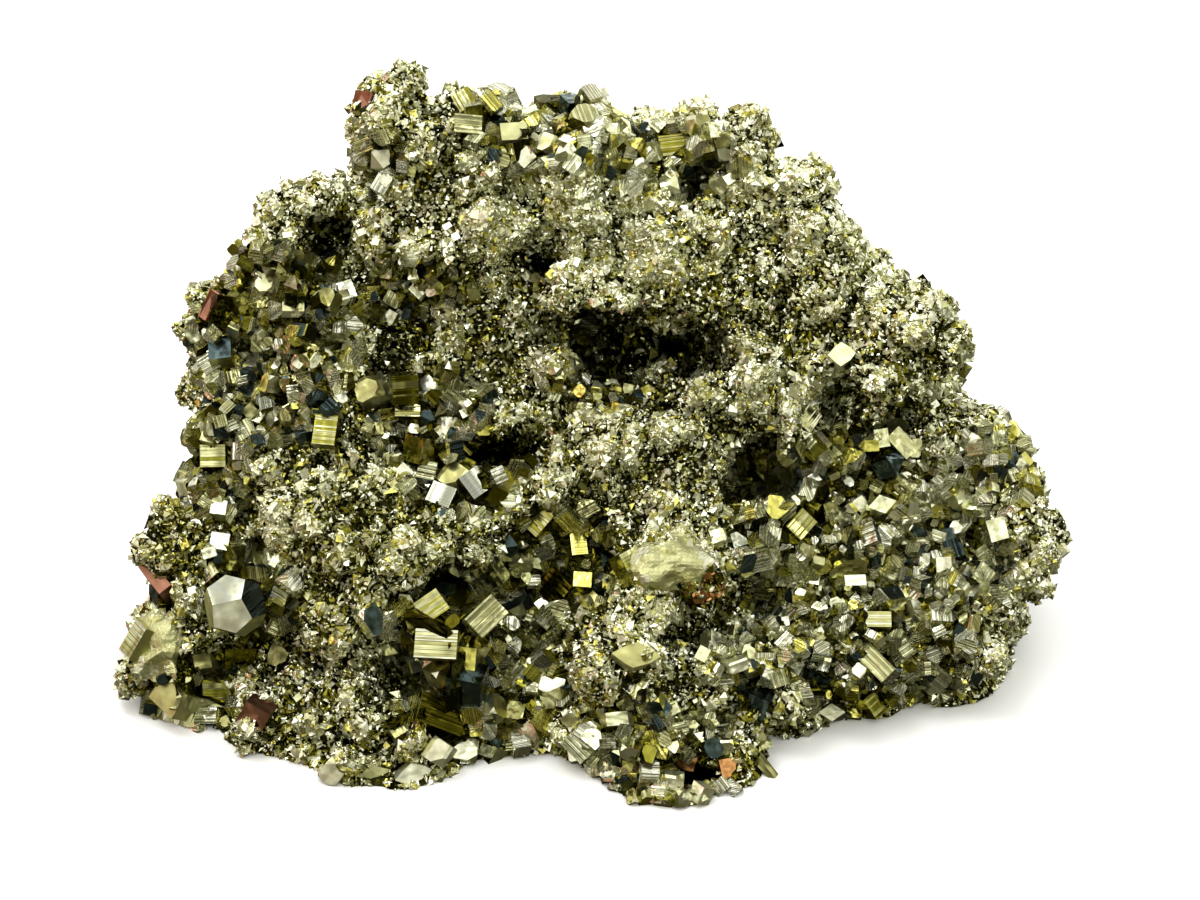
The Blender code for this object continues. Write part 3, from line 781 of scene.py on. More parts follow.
# Each row: (across, up) and (wide, high, deep) in mm, (yaw, pitch, spin) in degrees of the face that is
# turned to the viewer, shape, tone and finish, and the share of its depth that stands proud of the mass.
# LARGE_USUAL fills a row that ends early.
LARGE_CRYSTALS = [
    # Rose on the crystals along the left edge is a painted reflection of a warm colour beside the specimen.
    ((-37.6, 112.4), (2.4, 5.2, 2.4), (-20, 4, -6), BRICK, ROSE_REFLECTION, CRUMPLED, 0.05),
    ((-63, 80.5), (1.6, 7, 2.4), (-30, 0, 4), BRICK, ROSE_REFLECTION, CRUMPLED, 0.05),
    ((-71.4, 36), (5, 3.4, 4), (-18, 18, 30), BRICK, ROSE_REFLECTION, DULL, 0.12),
    ((-70, 33.2), (5.4, 4.4, 4.6), (20, -6, 14), BROAD_STEPS, 8),
    ((-62.5, 36.8), (3, 4.2, 3), (-30, 9, 24), BROAD_STEPS, 4),
    ((-25.4, 26.2), (7.4, 5, 6), (-8, 6, -4), BROAD_STEPS, 5, FROSTED, 0.36),
    ((-18.6, 30.2), (6.6, 4.6, 5.6), (16, 9, -28), CUBE, 6, BANDED, 0.36),
    ((-27.4, 31.8), (5.6, 4.2, 4.6), (12, 8, -24), FINE_STEPS, 6, FROSTED),
    ((-26, 35.4), (5.2, 3.4, 4.6), (10, -20, -12), GROWN[2], NAVY),
    ((-26.2, 14.8), (8.6, 5.4, 6.2), (24, 6, 40), CUBE, 7, BANDED, 0.36),
    ((-31.6, 12.6), (4.6, 4.4, 4.4), (-14, 24, 38), FINE_STEPS, 5, FROSTED, 0.36),
    ((-22, 9.4), (5.8, 4.2, 4.6), (10, 11, 16), GROWN[3], 5, FROSTED),
    ((-21, 20), (6.2, 6.4, 5), (-10, -26, 4), CUBE, NAVY),
    ((-14.2, 15.2), (4.4, 3.6, 4), (20, 8, -14), CUBOCTAHEDRON, 6),
    ((-10.8, 26), (4, 5.4, 4), (-24, 4, 18), FINE_STEPS, 5),
    ((-43.8, 59.8), (4, 5.4, 4.4), (-6, 11, 0), FINE_STEPS, 6, FROSTED, 0.3),
    ((-62.8, 56), (4.4, 4, 4), (4, 4, 2), BROAD_STEPS, 6, FROSTED, 0.3),
    ((-59, 81), (3.8, 4.4, 4), (36, -12, 0), CUBE, 7),
    ((-49.3, 80), (4, 4.6, 4), (8, 18, 8), GROWN[4], 4),
    ((-36.4, 66.4), (5.2, 5.4, 4.6), (-26, 12, 40), GROWN[5], 5, FROSTED, 0.4),
    ((-31.4, 67), (4.6, 5, 4.4), (10, -8, 4), FINE_STEPS, 7),
    ((-31, 63.6), (4.4, 2.8, 4), (4, 4, 4), BROAD_STEPS, 6),
    ((-28.4, 57.2), (5.2, 4.6, 4.6), (30, -14, 24), CUBE, 7, PLAIN, 0.45),
    ((-23.2, 52.6), (5, 5, 4.6), (-18, 13, 18), GROWN[6], 5, FROSTED, 0.4),
    ((-22.6, 58.6), (3.2, 5.2, 3.6), (20, 4, -28), FINE_STEPS, YELLOW),
    ((-20.4, 51.4), (4, 4.6, 4), (16, 10, -20), FINE_STEPS, GREY, PLAIN, 0.45),
    ((-25.2, 49.4), (4.4, 3.8, 4), (-6, 14, 16), FINE_STEPS, GREY),
    ((-16.4, 56.6), (4.6, 4.6, 4), (12, -18, -8), FINE_STEPS, 8),
    ((-9.2, 46), (4.8, 5.6, 4.4), (-22, 6, 22), FINE_STEPS, 6),
    ((-3.6, 41.8), (2.8, 4.6, 4), (6, 12, 0), BROAD_STEPS, YELLOW),
    ((-6.4, 35.2), (5, 5.4, 4.6), (-20, -6, 26), FINE_STEPS, 8),
    ((-2.8, 36), (2.2, 3.6, 3), (0, 14, 4), BRICK, YELLOW),
    ((0.4, 40), (3.4, 2.8, 3.4), (10, -16, 34), CUBE, NAVY),
    ((4.4, 38.4), (3.2, 5.6, 4), (26, 5, -4), FINE_STEPS, 6),
    ((18.8, 42.4), (3.8, 4, 4), (-14, 24, 8), GROWN[7], 3, PLAIN, 0.5),
    ((21.6, 42.6), (3, 3.2, 3.4), (24, 4, 4), GROWN[0], GREY),
    ((32, 44.8), (4.6, 3.6, 4), (14, 7, -34), FINE_STEPS, 6),
    ((34.2, 47.6), (4.2, 4, 4), (-20, -14, 10), GROWN[1], 8),
    ((40, 51.8), (3.2, 2.4, 3), (-10, 14, 4), GROWN[2], GREY),
    ((46.8, 55), (4.6, 4.2, 4.4), (-12, -20, 16), CUBOCTAHEDRON, NAVY),
    ((48.8, 57.8), (3.4, 5.2, 3.8), (18, 9, -26), CUBE, 4),
    ((51.6, 57.2), (3, 3.8, 3.4), (8, 10, 8), GROWN[3], 5, FROSTED),
    ((49.6, 65.6), (3.6, 3, 3.4), (-10, 5, 8), CUBE, 6, FROSTED),
    ((45.8, 47.6), (4.8, 3.2, 4), (6, 13, -8), CUBOCTAHEDRON, 4, FROSTED),
    ((40, 38.6), (7, 3.6, 5), (6, -12, -4), GROWN[4], 6),
    ((41, 35.2), (6.8, 2, 5.4), (-4, 16, -10), FLAG, 1, PLAIN, 0.5),
    ((38.6, 72), (4.3, 4.2, 2.4), (0, 14, 0), PLATE, 2, DULL),
    ((12, 74.8), (4.2, 2.4, 3), (0, -16, 2), CUBOCTAHEDRON, NAVY),
    ((33, 61.6), (4.2, 3.2, 3.8), (20, 10, -30), FINE_STEPS, 5),
    ((44.6, 22.6), (4.6, 4.4, 4.2), (-20, 9, 26), BRICK, 5, BANDED),
    ((44, 16.2), (4.2, 4.2, 4), (22, 0, -18), FINE_STEPS, 7),
    ((37, 14.6), (4.4, 2.8, 3.6), (10, 4, 8), CUBOCTAHEDRON, 5, FROSTED),
    ((35.2, 20), (4.2, 2.8, 3.8), (-12, -24, 4), BROAD_STEPS, NAVY),
    ((43.8, 29.6), (5.8, 2.8, 3.8), (4, 11, 4), BROAD_STEPS, 5, FROSTED),
    ((24.6, 17.6), (6, 4.2, 4.6), (-14, -18, 14), BROAD_STEPS, NAVY),
    ((5, 20.4), (5, 4.4, 4), (14, 7, -38), BROAD_STEPS, 5),
    ((2.4, 14), (7, 2.4, 4.4), (0, 14, -8), FLAG, 4, FROSTED),
    # These two copper cubes are a painted reddish reflection.
    ((13.4, 7.2), (4.4, 3, 3.4), (-6, 7, 10), CUBE, COPPER, FROSTED),
    ((20.4, 6.6), (3.4, 3.2, 3.2), (8, 8, -4), CUBE, COPPER, FROSTED),
    ((25.4, 6.8), (2.6, 6.6, 3.8), (30, 6, -8), FLAG, 5, FROSTED, 0.5),
    ((-13.9, 107.2), (4.6, 3.2, 4), (8, 12, 2), CUBE, 5, DULL, 0.25),
    ((-8.4, 105.6), (3.4, 3.6, 4), (-12, 9, 8), GROWN[6], 4, FROSTED, 0.2),
    ((-5.6, 109), (3.8, 3.6, 4), (-30, -4, 24), GROWN[5], 6, PLAIN, 0.15),
    ((-21.3, 108.4), (4.8, 3.4, 4.2), (12, 7, 14), CUBE, 5, BANDED, 0.25),
    ((-21.2, 112.8), (3.8, 3.4, 3.6), (-24, 10, 34), BROAD_STEPS, 6, FROSTED, 0.25),
    ((-34, 104), (4.6, 4.4, 4), (-4, 4, 6), CUBOCTAHEDRON, 5, DULL, 0.25),
    ((-36.2, 101.2), (4, 3.4, 3.6), (10, 12, -10), CUBE, 6, DULL, 0.25),
    ((-35.8, 98.2), (3.6, 2.4, 3.2), (0, 14, 2), BROAD_STEPS, GREY),
    ((11.6, 105.8), (5, 3.6, 4.4), (4, 4, -4), FINE_STEPS, 7, FROSTED, 0.25),
    ((2.8, 110.8), (4.4, 2.8, 4), (-14, 12, 18), CUBE, 5, STRIATED, 0.25),
    ((-4.4, 112.8), (3.8, 3, 3.4), (20, -24, 8), CUBE, NAVY),
    ((-9.2, 87), (3.8, 3, 3.4), (-12, -16, 10), CUBE, NAVY),
    ((-42, 6.4), (4.4, 4.2, 4), (-10, -6, 30), GROWN[3], 4, DULL, 0.25),
    ((-36, 6.2), (3.8, 3.2, 3.6), (8, -4, 20), BRICK, 4, DULL, 0.25),
    ((-29.6, 6), (5.8, 3.8, 4), (6, -4, -8), PLATE, 3, DULL, 0.25),
    ((-25.4, 9.4), (4.4, 4.6, 4), (-10, 6, 24), GROWN[6], 4, DULL, 0.3),
    ((-68.4, 17.2), (6.4, 5, 4.6), (-24, 4, 16), CUBE, 5, DULL),
    ((-73.6, 26), (4.6, 6.4, 4.6), (-44, 4, -8), BROAD_STEPS, 5, FROSTED),
    ((-64.6, 22.8), (5.6, 3.4, 4), (6, 12, -6), FLAG, 5, FROSTED),
    ((-63, 17.4), (5, 4.6, 4.4), (24, 5, 20), BROAD_STEPS, 6, FROSTED),
    # Painted rose reflection.
    ((-54.6, 15.2), (4.8, 4.4, 4.2), (-10, -14, 24), CUBE, ROSE_REFLECTION, FROSTED),
    ((-51.8, 23.6), (3.6, 4.4, 3.8), (-14, 8, 8), CUBE, 6, FROSTED),
    ((-58.6, 23.8), (5.2, 3.6, 4.2), (8, -10, 6), CUBE, 7),
    ((5.6, 24.6), (7.4, 4.2, 3.6), (4, 12, 10), PLATE, 5, DULL, 0.25),
]


def face_turn(yaw, pitch, spin):
    """Turns a crystal's front (-y) from the face's own outward side: spin about it, tip up, then swing."""
    yaw, pitch, spin = np.radians([yaw, -pitch, spin])
    about_y = np.array([[math.cos(spin), 0, math.sin(spin)], [0, 1, 0], [-math.sin(spin), 0, math.cos(spin)]])
    tip = pitch - FACE_LEAN
    about_x = np.array([[1, 0, 0], [0, math.cos(tip), -math.sin(tip)], [0, math.sin(tip), math.cos(tip)]])
    about_z = np.array([[math.cos(yaw), -math.sin(yaw), 0], [math.sin(yaw), math.cos(yaw), 0], [0, 0, 1]])
    return about_z @ about_x @ about_y


def skin_depth(across, up):
    """The place where a line straight into the display face at (across, up) first meets the mass."""
    start = from_face(across, -60.0, up)
    towards = from_face(across, 0.0, up) - start
    return skin.ray_cast(start, towards.normalized())[0]


rng = np.random.default_rng(8)
inward = np.array((0.0, math.cos(FACE_LEAN), -math.sin(FACE_LEAN)))
large_groups = []
large_marks = []
for (across, up), size, angles, shape, tone_number, *looks in LARGE_CRYSTALS:
    kind, proud = looks + LARGE_USUAL[len(looks):]
    wide, high, deep = np.array(size) * LARGE_SCALE
    middle = np.array(skin_depth(across, up)) + inward * deep * (0.5 - proud) * MM
    stretch = np.array([[wide, deep, high]]) * MM
    tones = np.array([tone_number])
    yaw, pitch, spin = angles
    turn = face_turn(yaw * OBLIQUE, pitch * OBLIQUE, spin)[None]
    kinds = np.array([kind])
    grown = crystals(shape, middle[None], stretch, turn, tones, kinds, -inward, LARGE_SHADE, 0.0, rng)
    large_groups.append(grown)
    large_marks.append((to_face(middle[None])[0], wide * LARGE_ROOM, high * LARGE_ROOM))

# ---------------------------------------------------------------------------
# The best of the large crystals, a pyritohedron by the left toe, just under a centimetre across. An edge of
# it fronts the viewer. Its faces carry painted light, shade and reflection: the face above it pale grey, the
# one below silvery, the next to the right a blue reflection.
# Its middle stands a little out of the mass, and the rest of it is grown in.
BEST_PLACE = (-57.9, 32.4)
BEST_SIZE = 7.2
BEST_TURN = (-13.0, 9.0, -20.0)
BEST_PROUD = 0.7
BEST_ROOM = 0.62
# Painted light, shade and reflection, face by face: each face's outward direction gives its tone and finish.
BEST_PAINTED_FACES = {(0, -2, 1): (GREY, FROSTED), (0, -2, -1): (2, DULL), (2, -1, 0): (NAVY, STRIATED)}
BEST_OTHERS = (5, FROSTED)

middle = np.array(skin_depth(*BEST_PLACE)) + inward * BEST_SIZE * (0.5 - BEST_PROUD) * MM
best = crystals(PYRITOHEDRON, middle[None], np.full((1, 3), BEST_SIZE * MM), face_turn(*BEST_TURN)[None],
                np.array([0]), np.array([PLAIN]), -inward, 0.0, 0.0, rng)
whole_sides = [(side * math.sqrt(5.0)).round().astype(int) for side in face_sides(PYRITOHEDRON)]
best_chart = [
    chart_places(flat, *BEST_PAINTED_FACES.get(tuple(side.tolist()), BEST_OTHERS))
    for flat, side in zip(flat_places(PYRITOHEDRON), whole_sides)
]
large_groups.append((*best[:3], np.concatenate(best_chart)))
large_marks.append((to_face(middle[None])[0], BEST_SIZE * BEST_ROOM, BEST_SIZE * BEST_ROOM))
finish_piece(joined_mesh("large_crystals", large_groups), "large_crystals")


# ---------------------------------------------------------------------------
# Crystals in the pockets: clean cubes, cut cubes and pyritohedra of two to five millimetres, grown into
# each other in clusters with dark gaps between them, over a bed of smaller ones.
# Each layer: how far apart and how large, as shares of the pocket's edge, how far out, in edges, and tone;
# the deeper, smaller layers are darker as painted shade.
CANDIDATES = 900000
LAYERS = (
    (1.03, 1.30, -0.02, 1.9),
    (0.78, 0.95, -0.06, 2.1),
    (0.62, 0.75, -0.12, 3.2),
)
LARGEST_LAYER = 1.0
LAYER_PITCH = 2.6
EDGE_SPREAD = (0.62 / 1.35, 1.15 / 1.35)
REACH = 0.44
TWINNED = (6.5, 13)
OUT_OF_TURN = 0.45
SUNNY_FROM = 12.0
CREASE_PAINTED_SHADE = 2.6
POCKET_SHADE = 2.9
POCKET_TARNISH_AND_REFLECTION = 0.06
FOOT_CLEAR = 0.15

triangles = np.concatenate([quads[:, :3], quads[:, [0, 2, 3]]])
first, second, third = (places[triangles[:, k]] for k in range(3))
cross = np.cross(second - first, third - first)
areas = np.linalg.norm(cross, axis=1) / 2
eased = read(mass.vertices, "normal", 3)
standing = areas * (((first + second + third)[:, 2] / 3) > FOOT_CLEAR * MM)
steps = np.cumsum(standing) / standing.sum()


def on_skin(count, rng):
    """Random places all over the skin, each with its outward direction, its crease and its bareness."""
    pick = np.searchsorted(steps, rng.random(count)).clip(0, len(steps) - 1)
    u, v = rng.random((2, count))
    over = u + v > 1
    u, v = np.where(over, 1 - u, u)[:, None], np.where(over, 1 - v, v)[:, None]
    place = first[pick] + (second[pick] - first[pick]) * u + (third[pick] - first[pick]) * v
    corner = triangles[pick, 0]
    return place, eased[corner], creased[corner], bare[corner]


def spaced(points, gap):
    """Which points to keep so that each cube of side gap (mm) holds one, on two grids half a side apart."""
    kept = np.arange(len(points))
    for shift in (0.0, 0.5):
        cell = np.floor(points[kept] / (gap * MM) + shift).astype(np.int64)
        key = cell[:, 0] * 4000037 + cell[:, 1] * 2003 + cell[:, 2]
        _, one = np.unique(key, return_index=True)
        kept = kept[np.sort(one)]
    return kept


def clear_of_large(points, margin):
    """True where a place is outside the outline of every large crystal, as seen along its own depth."""
    place = to_face(points)
    clear = np.ones(len(points), bool)
    for middle, half_wide, half_high in large_marks:
        gap = np.abs(place - middle)
        aside = (gap[:, 0] > half_wide + margin) | (gap[:, 2] > half_high + margin)
        clear &= aside | (gap[:, 1] > LARGE_REACH)
    return clear


def clear_of(points, middles, reach):
    """True where a place is further from every one of these middles than that one's reach."""
    clear = np.ones(len(points), bool)
    for middle, far in zip(middles, reach):
        clear &= ((points - middle) ** 2).sum(1) > far**2
    return clear


def in_sight(points, facing):
    """True where a place belongs to the display face rather than the back."""
    place = to_face(points)
    return (place[:, 1] < FACE_DEPTH + 2.0) & (facing @ -inward > -0.35)


def pocket_layer(chosen, gap, size, rise, dark, rng):
    """Crystals one gap apart (as a share of the pocket's edge), each of that size, standing up by rise edges,
    in tones about the one numbered dark.

    Returns them with their middles and how far round each one nothing smaller starts.
    """
    index = chosen[spaced(places_all[chosen], gap * LAYER_PITCH)]
    index = index[clear_of_large(places_all[index], 0.6 * size)]
    index = index[clear_of(places_all[index], pocket_middles, pocket_reach)]
    _, edge = pocket_share(places_all[index])
    number = len(index)
    edge = edge * MM * size * rng.uniform(*EDGE_SPREAD, number)
    at = places_all[index] + out_all[index] * (edge * (rise + rng.uniform(-0.15, 0.2, number)))[:, None]
    apart = rng.random(number) < OUT_OF_TURN
    turn = np.where(apart[:, None, None], turns(number, rng), shared_turns(at, *TWINNED, rng, 0.16))
    groups = []
    if size > LARGEST_LAYER:
        shapes = GROWN + [CUBE, CUT_CUBE, CUT_CUBE, FINE_STEPS, BROAD_STEPS]
    else:
        shapes = [CUBE, CUBE, CUT_CUBE, *GROWN[:3], CHIP]
    kind = rng.integers(0, len(shapes), number)
    for which, shape in enumerate(shapes):
        some = kind == which
        count = int(some.sum())
        stretch = edge[some][:, None] * rng.uniform(0.75, 1.25, (count, 3))
        # Painted light: crystals right of SUNNY_FROM are nearly a tone step lighter.
        painted_light = 0.9 * (to_face(at[some])[:, 0] > SUNNY_FROM)
        # Painted shade: crystals in creases are darker.
        tone = rng.normal(dark, 1.8, count) - painted_light + CREASE_PAINTED_SHADE * crease_all[index[some]]
        tone = np.clip(np.round(tone), 0, YELLOW - 1)
        special = rng.random(count)
        tone = np.where(special < (0.0 if size > LARGEST_LAYER else 0.06), YELLOW, tone)
        tone = np.where(special > 0.96, rng.choice([GREY, NAVY], count), tone).astype(int)
        finish = rng.choice([PLAIN, STRIATED, STRIATED, BANDED, BANDED, FROSTED], count)
        out = out_all[index[some]]
        looks = (tone, finish, out, POCKET_SHADE, POCKET_TARNISH_AND_REFLECTION, rng)
        groups.append(crystals(shape, at[some], stretch, turn[some], *looks))
    return groups, at, edge * REACH


rng = np.random.default_rng(33)
places_all, out_all, crease_all, bare_all = on_skin(CANDIDATES, rng)
share_all, _ = pocket_share(places_all)
pocketed = (share_all > 0.45) & (bare_all < 0.3)
front = in_sight(places_all, out_all)
left = to_face(places_all)[:, 0] < 0.0
pocket_middles = np.zeros((0, 3))
pocket_reach = np.zeros(0)
for side, own in (("left", front & left), ("right", front & ~left), ("back", ~front)):
    name = "pocket_crystals_" + side
    pocket_groups = []
    for layer in LAYERS:
        groups, middles, reach = pocket_layer(np.flatnonzero(pocketed & own), *layer, rng)
        pocket_groups += groups
        pocket_middles = np.concatenate([pocket_middles, middles])
        pocket_reach = np.concatenate([pocket_reach, reach])
    finish_piece(joined_mesh(name, pocket_groups), name)

# ---------------------------------------------------------------------------
# The fine crust: grains of half a millimetre to nearly two, fused all over the lobes. About half are
# flakes that lie along the skin; the rest are blunt grains, octahedra, and small cubes, turned alike
# within a cluster. Grains deep in creases are small, darker as painted shade, and more often yellow as
# painted reflection.
FINE_GAP = 0.60
FINE_EDGE = (0.60, 1.8)
FINE_TONE = (0.7, 2.3)
FINE_SHADE = 1.1
FINE_TWINNED = (3.6, 9)
BACK_GAP = 2.1
BACK_EDGE = (1.8 * FINE_EDGE[0], 1.6 * FINE_EDGE[1])
COPPERY_FROM = 6.0

# Regions that differ: (across, up), half sizes in mm, tone steps darker, and how calm (flakes lie flat).
REGIONS = [
    ((-37, 40), (16, 14), 1.6, 0.6),
    ((-65, 43), (9, 8), 3, 0.5),
    ((12, 38), (9.5, 4.6), 0, 1),
    ((16.3, 35), (4.4, 4.2), 9, 0.8),
    ((5.5, 29), (5.5, 6), -0.5, 0.6),
    # On the upper face the tone is lighter, as painted light from above.
    ((4, 93), (38, 15), -1.9, 0),
    ((10, 87.5), (16, 5), 2, 0.2),
    ((50, 74), (11, 9), -0.6, 0.3),
    ((29, 66), (9, 12), -1.6, 0.1),
    ((-70, 22), (7, 8), 0, 0.9),
    ((-36, 12), (18, 9), 0.6, 0.4),
    ((20, 18), (9, 7), 0, 0.6),
]


def drawn(rng, count, low, high):
    """Sizes in metres between low and high mm, small ones commoner: low (high / low) ^ (t ^ 1.5)."""
    return low * (high / low) ** (rng.random(count) ** 1.5) * MM


def region_look(points):
    """Tone steps darker and calmness at each place: the region it lies in, over slow noise."""
    place = to_face(points)
    darker = (lattice_noise(points, 14.0, 7) - 0.5) * 2.4
    calm = np.full(len(points), 0.25)
    for (across, up), (half_across, half_up), shade, still in REGIONS:
        far = ((place[:, 0] - across) / half_across) ** 2 + ((place[:, 2] - up) / half_up) ** 2
        share = np.clip(2.4 * (1.0 - far), 0.0, 1.0) * (place[:, 1] < 40.0)
        darker += shade * share
        calm += (still - calm) * share
    return darker, calm


rng = np.random.default_rng(21)
fine = (share_all < rng.uniform(0.35, 0.65, len(share_all))) & clear_of_large(places_all, -0.2)
fine &= (crease_all < 0.45) | (rng.random(len(crease_all)) < 0.4)
fine &= bare_all < rng.uniform(0.2, 0.9, len(bare_all))
chosen = np.flatnonzero(fine & front)
near = chosen[spaced(places_all[chosen], FINE_GAP)]
near = near[clear_of(places_all[near], pocket_middles, pocket_reach)]
chosen = np.flatnonzero(~front & fine)
far = chosen[spaced(places_all[chosen], FINE_GAP * BACK_GAP)]


def crust(name, index, low, high, rng):
    """Grains at these skin places, a little sunk: flakes where calm, else blunt grains and small cubes."""
    groups = []
    darker_all, calm_all = region_look(places_all[index])
    flake = rng.random(len(index)) < 0.30 + 0.60 * calm_all
    kind = np.where(flake, 0, rng.integers(1, 8, len(index)))
    for which, shape in enumerate([CHIP, CUBE, OCTAHEDRON, *PEBBLES]):
        own = kind == which
        some, darker, calm = index[own], darker_all[own], calm_all[own]
        number = len(some)
        crease = crease_all[some]
        edge = drawn(rng, number, low, high) * (1 - 0.25 * crease)
        sunk = rng.uniform(-0.30, 0.06, number)
        stretch = edge[:, None] * rng.uniform(0.75, 1.2, (number, 3))
        turn = turns(number, rng)
        if shape is CHIP:
            sunk = rng.uniform(-0.06, 0.10, number)
            stretch = edge[:, None] * rng.uniform([0.9, 0.9, 0.30], [1.5, 1.5, 0.90], (number, 3))
            turn = lying(out_all[some], rng, 0.30)
        elif shape is CUBE:
            turn = shared_turns(places_all[some], *FINE_TWINNED, rng, 0.22)
            stretch *= 0.85
        elif shape is OCTAHEDRON:
            stretch *= 0.85
        at = places_all[some] + out_all[some] * (edge * sunk)[:, None]
        # Painted shade: grains in creases are darker.
        tone = rng.normal(*FINE_TONE, number) + darker + CREASE_PAINTED_SHADE * crease
        coppery = darker > COPPERY_FROM
        tone = np.clip(np.round(tone), 0, YELLOW - 1)
        # Painted reflection: grains in creases are more often yellow.
        tone = np.where(rng.random(number) < 0.07 + 0.08 * crease, YELLOW, tone)
        tone = np.where(coppery, rng.choice([6, 7, 7, 8, COPPER, COPPER], number), tone).astype(int)
        rough = rng.random(number) < 0.28 + 0.5 * calm
        finish = np.where(rough, DULL, rng.choice([PLAIN, CRUMPLED, FOIL], number))
        out = out_all[some]
        groups.append(crystals(shape, at, stretch, turn, tone, finish, out, FINE_SHADE, 0.0, rng))
    return finish_piece(joined_mesh(name, groups), name)


sides = to_face(places_all[near])
crust("fine_crust_left", near[(sides[:, 0] < -4.0) & (sides[:, 2] < 70.0)], *FINE_EDGE, rng)
crust("fine_crust_right", near[(sides[:, 0] >= -4.0) & (sides[:, 2] < 70.0)], *FINE_EDGE, rng)
crust("fine_crust_top", near[sides[:, 2] >= 70.0], *FINE_EDGE, rng)
crust("back_crust", far, *BACK_EDGE, rng)

# ---------------------------------------------------------------------------
# The floor and the studio: a plain pale floor and soft light from above, bright overhead, dim below.
# Metal shows what is round it, so the dim side is a warm dark and the overhead glow is broad.
FLOOR_COLOUR = (0.86, 0.86, 0.85, 1.0)
FLOOR_MIRRORED = (0.06, 0.055, 0.025, 1.0)
GLOW_FROM = Vector((-0.20, 0.32, 0.92)).normalized()
GLOW_RAMP = (
    (0.00, (0.003, 0.003, 0.0015)),
    (0.22, (0.010, 0.010, 0.004)),
    (0.35, (0.09, 0.089, 0.045)),
    (0.48, (0.31, 0.308, 0.22)),
    (0.60, (0.56, 0.56, 0.49)),
    (0.75, (0.72, 0.72, 0.69)),
    (1.00, (0.85, 0.85, 0.85)),
)
GLOW_STRENGTH = 2.6
WARM_FROM = Vector((-0.94, -0.20, 0.10)).normalized()
WARM_GLOW = (0.34, 0.15, 0.10, 1.0)
WARM_EDGES = (0.80, 0.95)
PATCHES = (2.4, 2.0)
PATCH_STOPS = 9.0
PATCH_MOST = 0.95
LAMPS_AIM = (0.0, 0.0, 0.04)
SEEN_COLOUR = (0.93, 0.93, 0.92, 1.0)

floor_mesh = bpy.data.meshes.new("floor")
floor_mesh.from_pydata([(-4, -4, 0), (4, -4, 0), (4, 4, 0), (-4, 4, 0)], [], [(0, 1, 2, 3)])
floor = bpy.data.objects.new("floor", floor_mesh)
bpy.context.scene.collection.objects.link(floor)
floor_paint = bpy.data.materials.new("floor_paint")
floor_paint.use_nodes = True
paint = floor_paint.node_tree
paint_shader = paint.nodes["Principled BSDF"]
paint_shader.inputs["Roughness"].default_value = 0.7
paint_rays = node(paint, "ShaderNodeLightPath")
floor_colour = mixed(paint, paint_rays.outputs["Is Camera Ray"], FLOOR_MIRRORED, FLOOR_COLOUR)
paint.links.new(floor_colour, paint_shader.inputs["Base Color"])
floor_mesh.materials.append(floor_paint)


def lamp(name, place, width, height, watts, colour=(1.0, 1.0, 1.0)):
    """A soft rectangular lamp at a place in metres, aimed at the specimen."""
    light = bpy.data.lights.new(name, "AREA")
    light.shape = "RECTANGLE"
    light.size = width
    light.size_y = height
    light.energy = watts
    light.color = colour
    obj = bpy.data.objects.new(name, light)
    obj.location = place
    obj.rotation_euler = (Vector(LAMPS_AIM) - Vector(place)).to_track_quat("-Z", "Y").to_euler()
    bpy.context.scene.collection.objects.link(obj)


lamp("top", (-0.30, 0.0, 0.95), 0.40, 0.35, 2.6)
lamp("front_high", (0.25, -0.60, 0.85), 0.25, 0.25, 0.9)
lamp("left", (-0.85, -0.15, 0.45), 0.16, 0.45, 0.6, (1.0, 0.97, 0.90))
lamp("right", (0.85, -0.15, 0.40), 0.16, 0.45, 0.6, (0.92, 0.96, 1.0))
lamp("back", (0.2, 0.85, 0.55), 0.45, 0.25, 1.2)

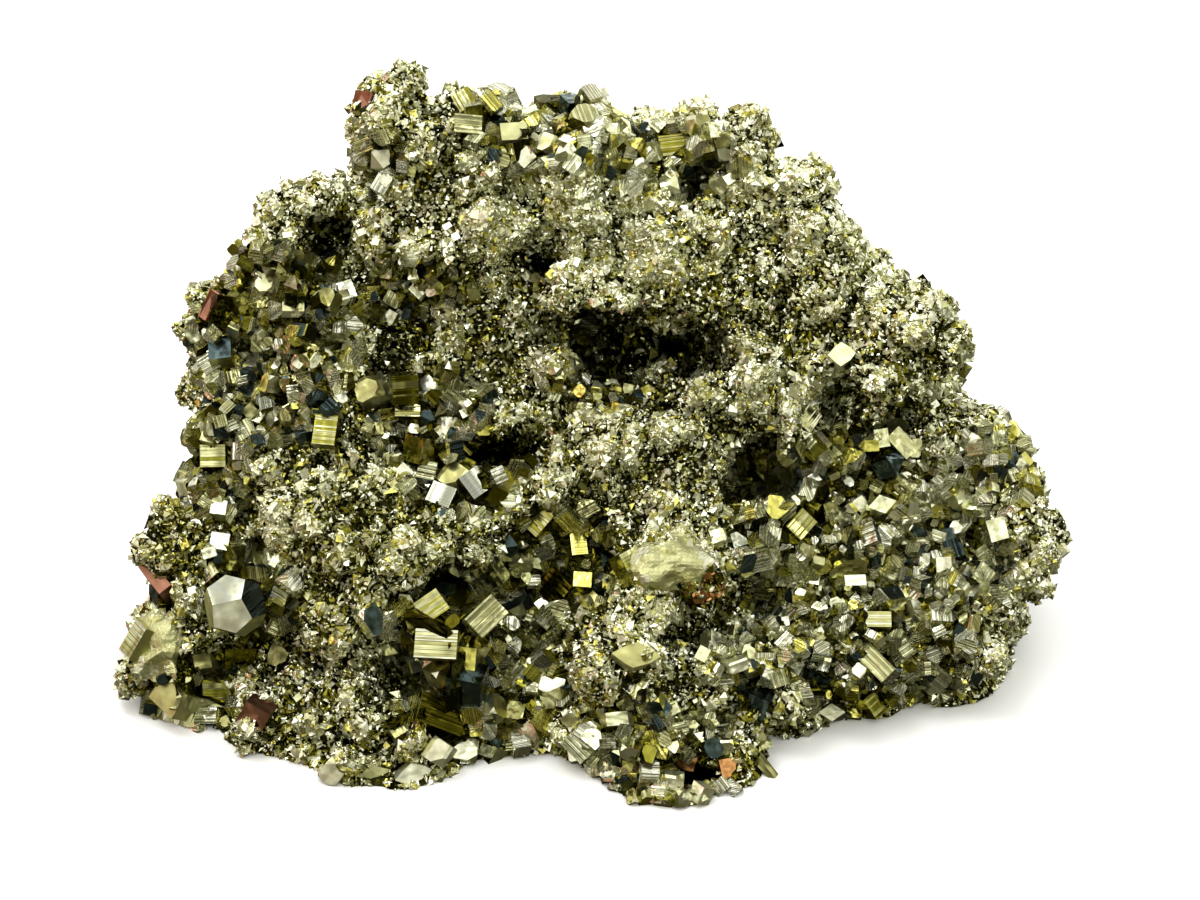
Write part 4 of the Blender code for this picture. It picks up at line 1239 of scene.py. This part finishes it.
world = bpy.data.worlds.new("studio")
bpy.context.scene.world = world
world.use_nodes = True
sky = world.node_tree
sky.nodes.clear()
out = node(sky, "ShaderNodeOutputWorld")
mix_rays = node(sky, "ShaderNodeMixShader")
seen = node(sky, "ShaderNodeBackground", in_0=SEEN_COLOUR, in_1=1.0)
felt = node(sky, "ShaderNodeBackground", in_1=1.0)
rays = node(sky, "ShaderNodeLightPath")
where = node(sky, "ShaderNodeTexCoord").outputs["Generated"]


def towards(direction):
    """How far each place of the sky lies towards a direction: the dot product of the two."""
    made = node(sky, "ShaderNodeVectorMath", operation="DOT_PRODUCT", in_1=direction)
    sky.links.new(where, made.inputs[0])
    return made.outputs["Value"]


glow = ramp(sky, maths(sky, "MULTIPLY_ADD", towards(GLOW_FROM), 0.5, 0.5), GLOW_RAMP, "LINEAR")
warmth = between(sky, towards(WARM_FROM), *WARM_EDGES)
sky.links.new(mixed(sky, warmth, glow, WARM_GLOW), felt.inputs[0])
drift, _ = noise(sky, "3D", where, *PATCHES)
patchy = maths(sky, "POWER", 2.0, maths(sky, "MULTIPLY_ADD", drift, PATCH_STOPS, -PATCH_STOPS / 2))
patchy = maths(sky, "MINIMUM", patchy, PATCH_MOST)
sky.links.new(maths(sky, "MULTIPLY", patchy, GLOW_STRENGTH), felt.inputs[1])
sky.links.new(rays.outputs["Is Camera Ray"], mix_rays.inputs[0])
sky.links.new(felt.outputs[0], mix_rays.inputs[1])
sky.links.new(seen.outputs[0], mix_rays.inputs[2])
sky.links.new(mix_rays.outputs[0], out.inputs[0])
bpy.context.scene.view_settings.view_transform = "Standard"

# ---------------------------------------------------------------------------
# The camera looks straight on to the leaning display face, from the height that it leans to.
# It stands well back, so that the near lobes look no larger than they are.
CAMERA_FAR = 0.6
CAMERA_AIM = (0.0, 15.0, 57.1)
FRAME_WIDE = 0.192
SENSOR = 36.0

camera_data = bpy.data.cameras.new("camera")
camera_data.sensor_width = SENSOR
camera_data.lens = SENSOR * CAMERA_FAR / FRAME_WIDE
camera = bpy.data.objects.new("camera", camera_data)
bpy.context.scene.collection.objects.link(camera)
aim = from_face(*CAMERA_AIM)
sight = Vector((0.0, math.cos(FACE_LEAN), -math.sin(FACE_LEAN)))
camera.location = aim - sight * CAMERA_FAR
camera.rotation_euler = sight.to_track_quat("-Z", "Y").to_euler()
bpy.context.scene.camera = camera
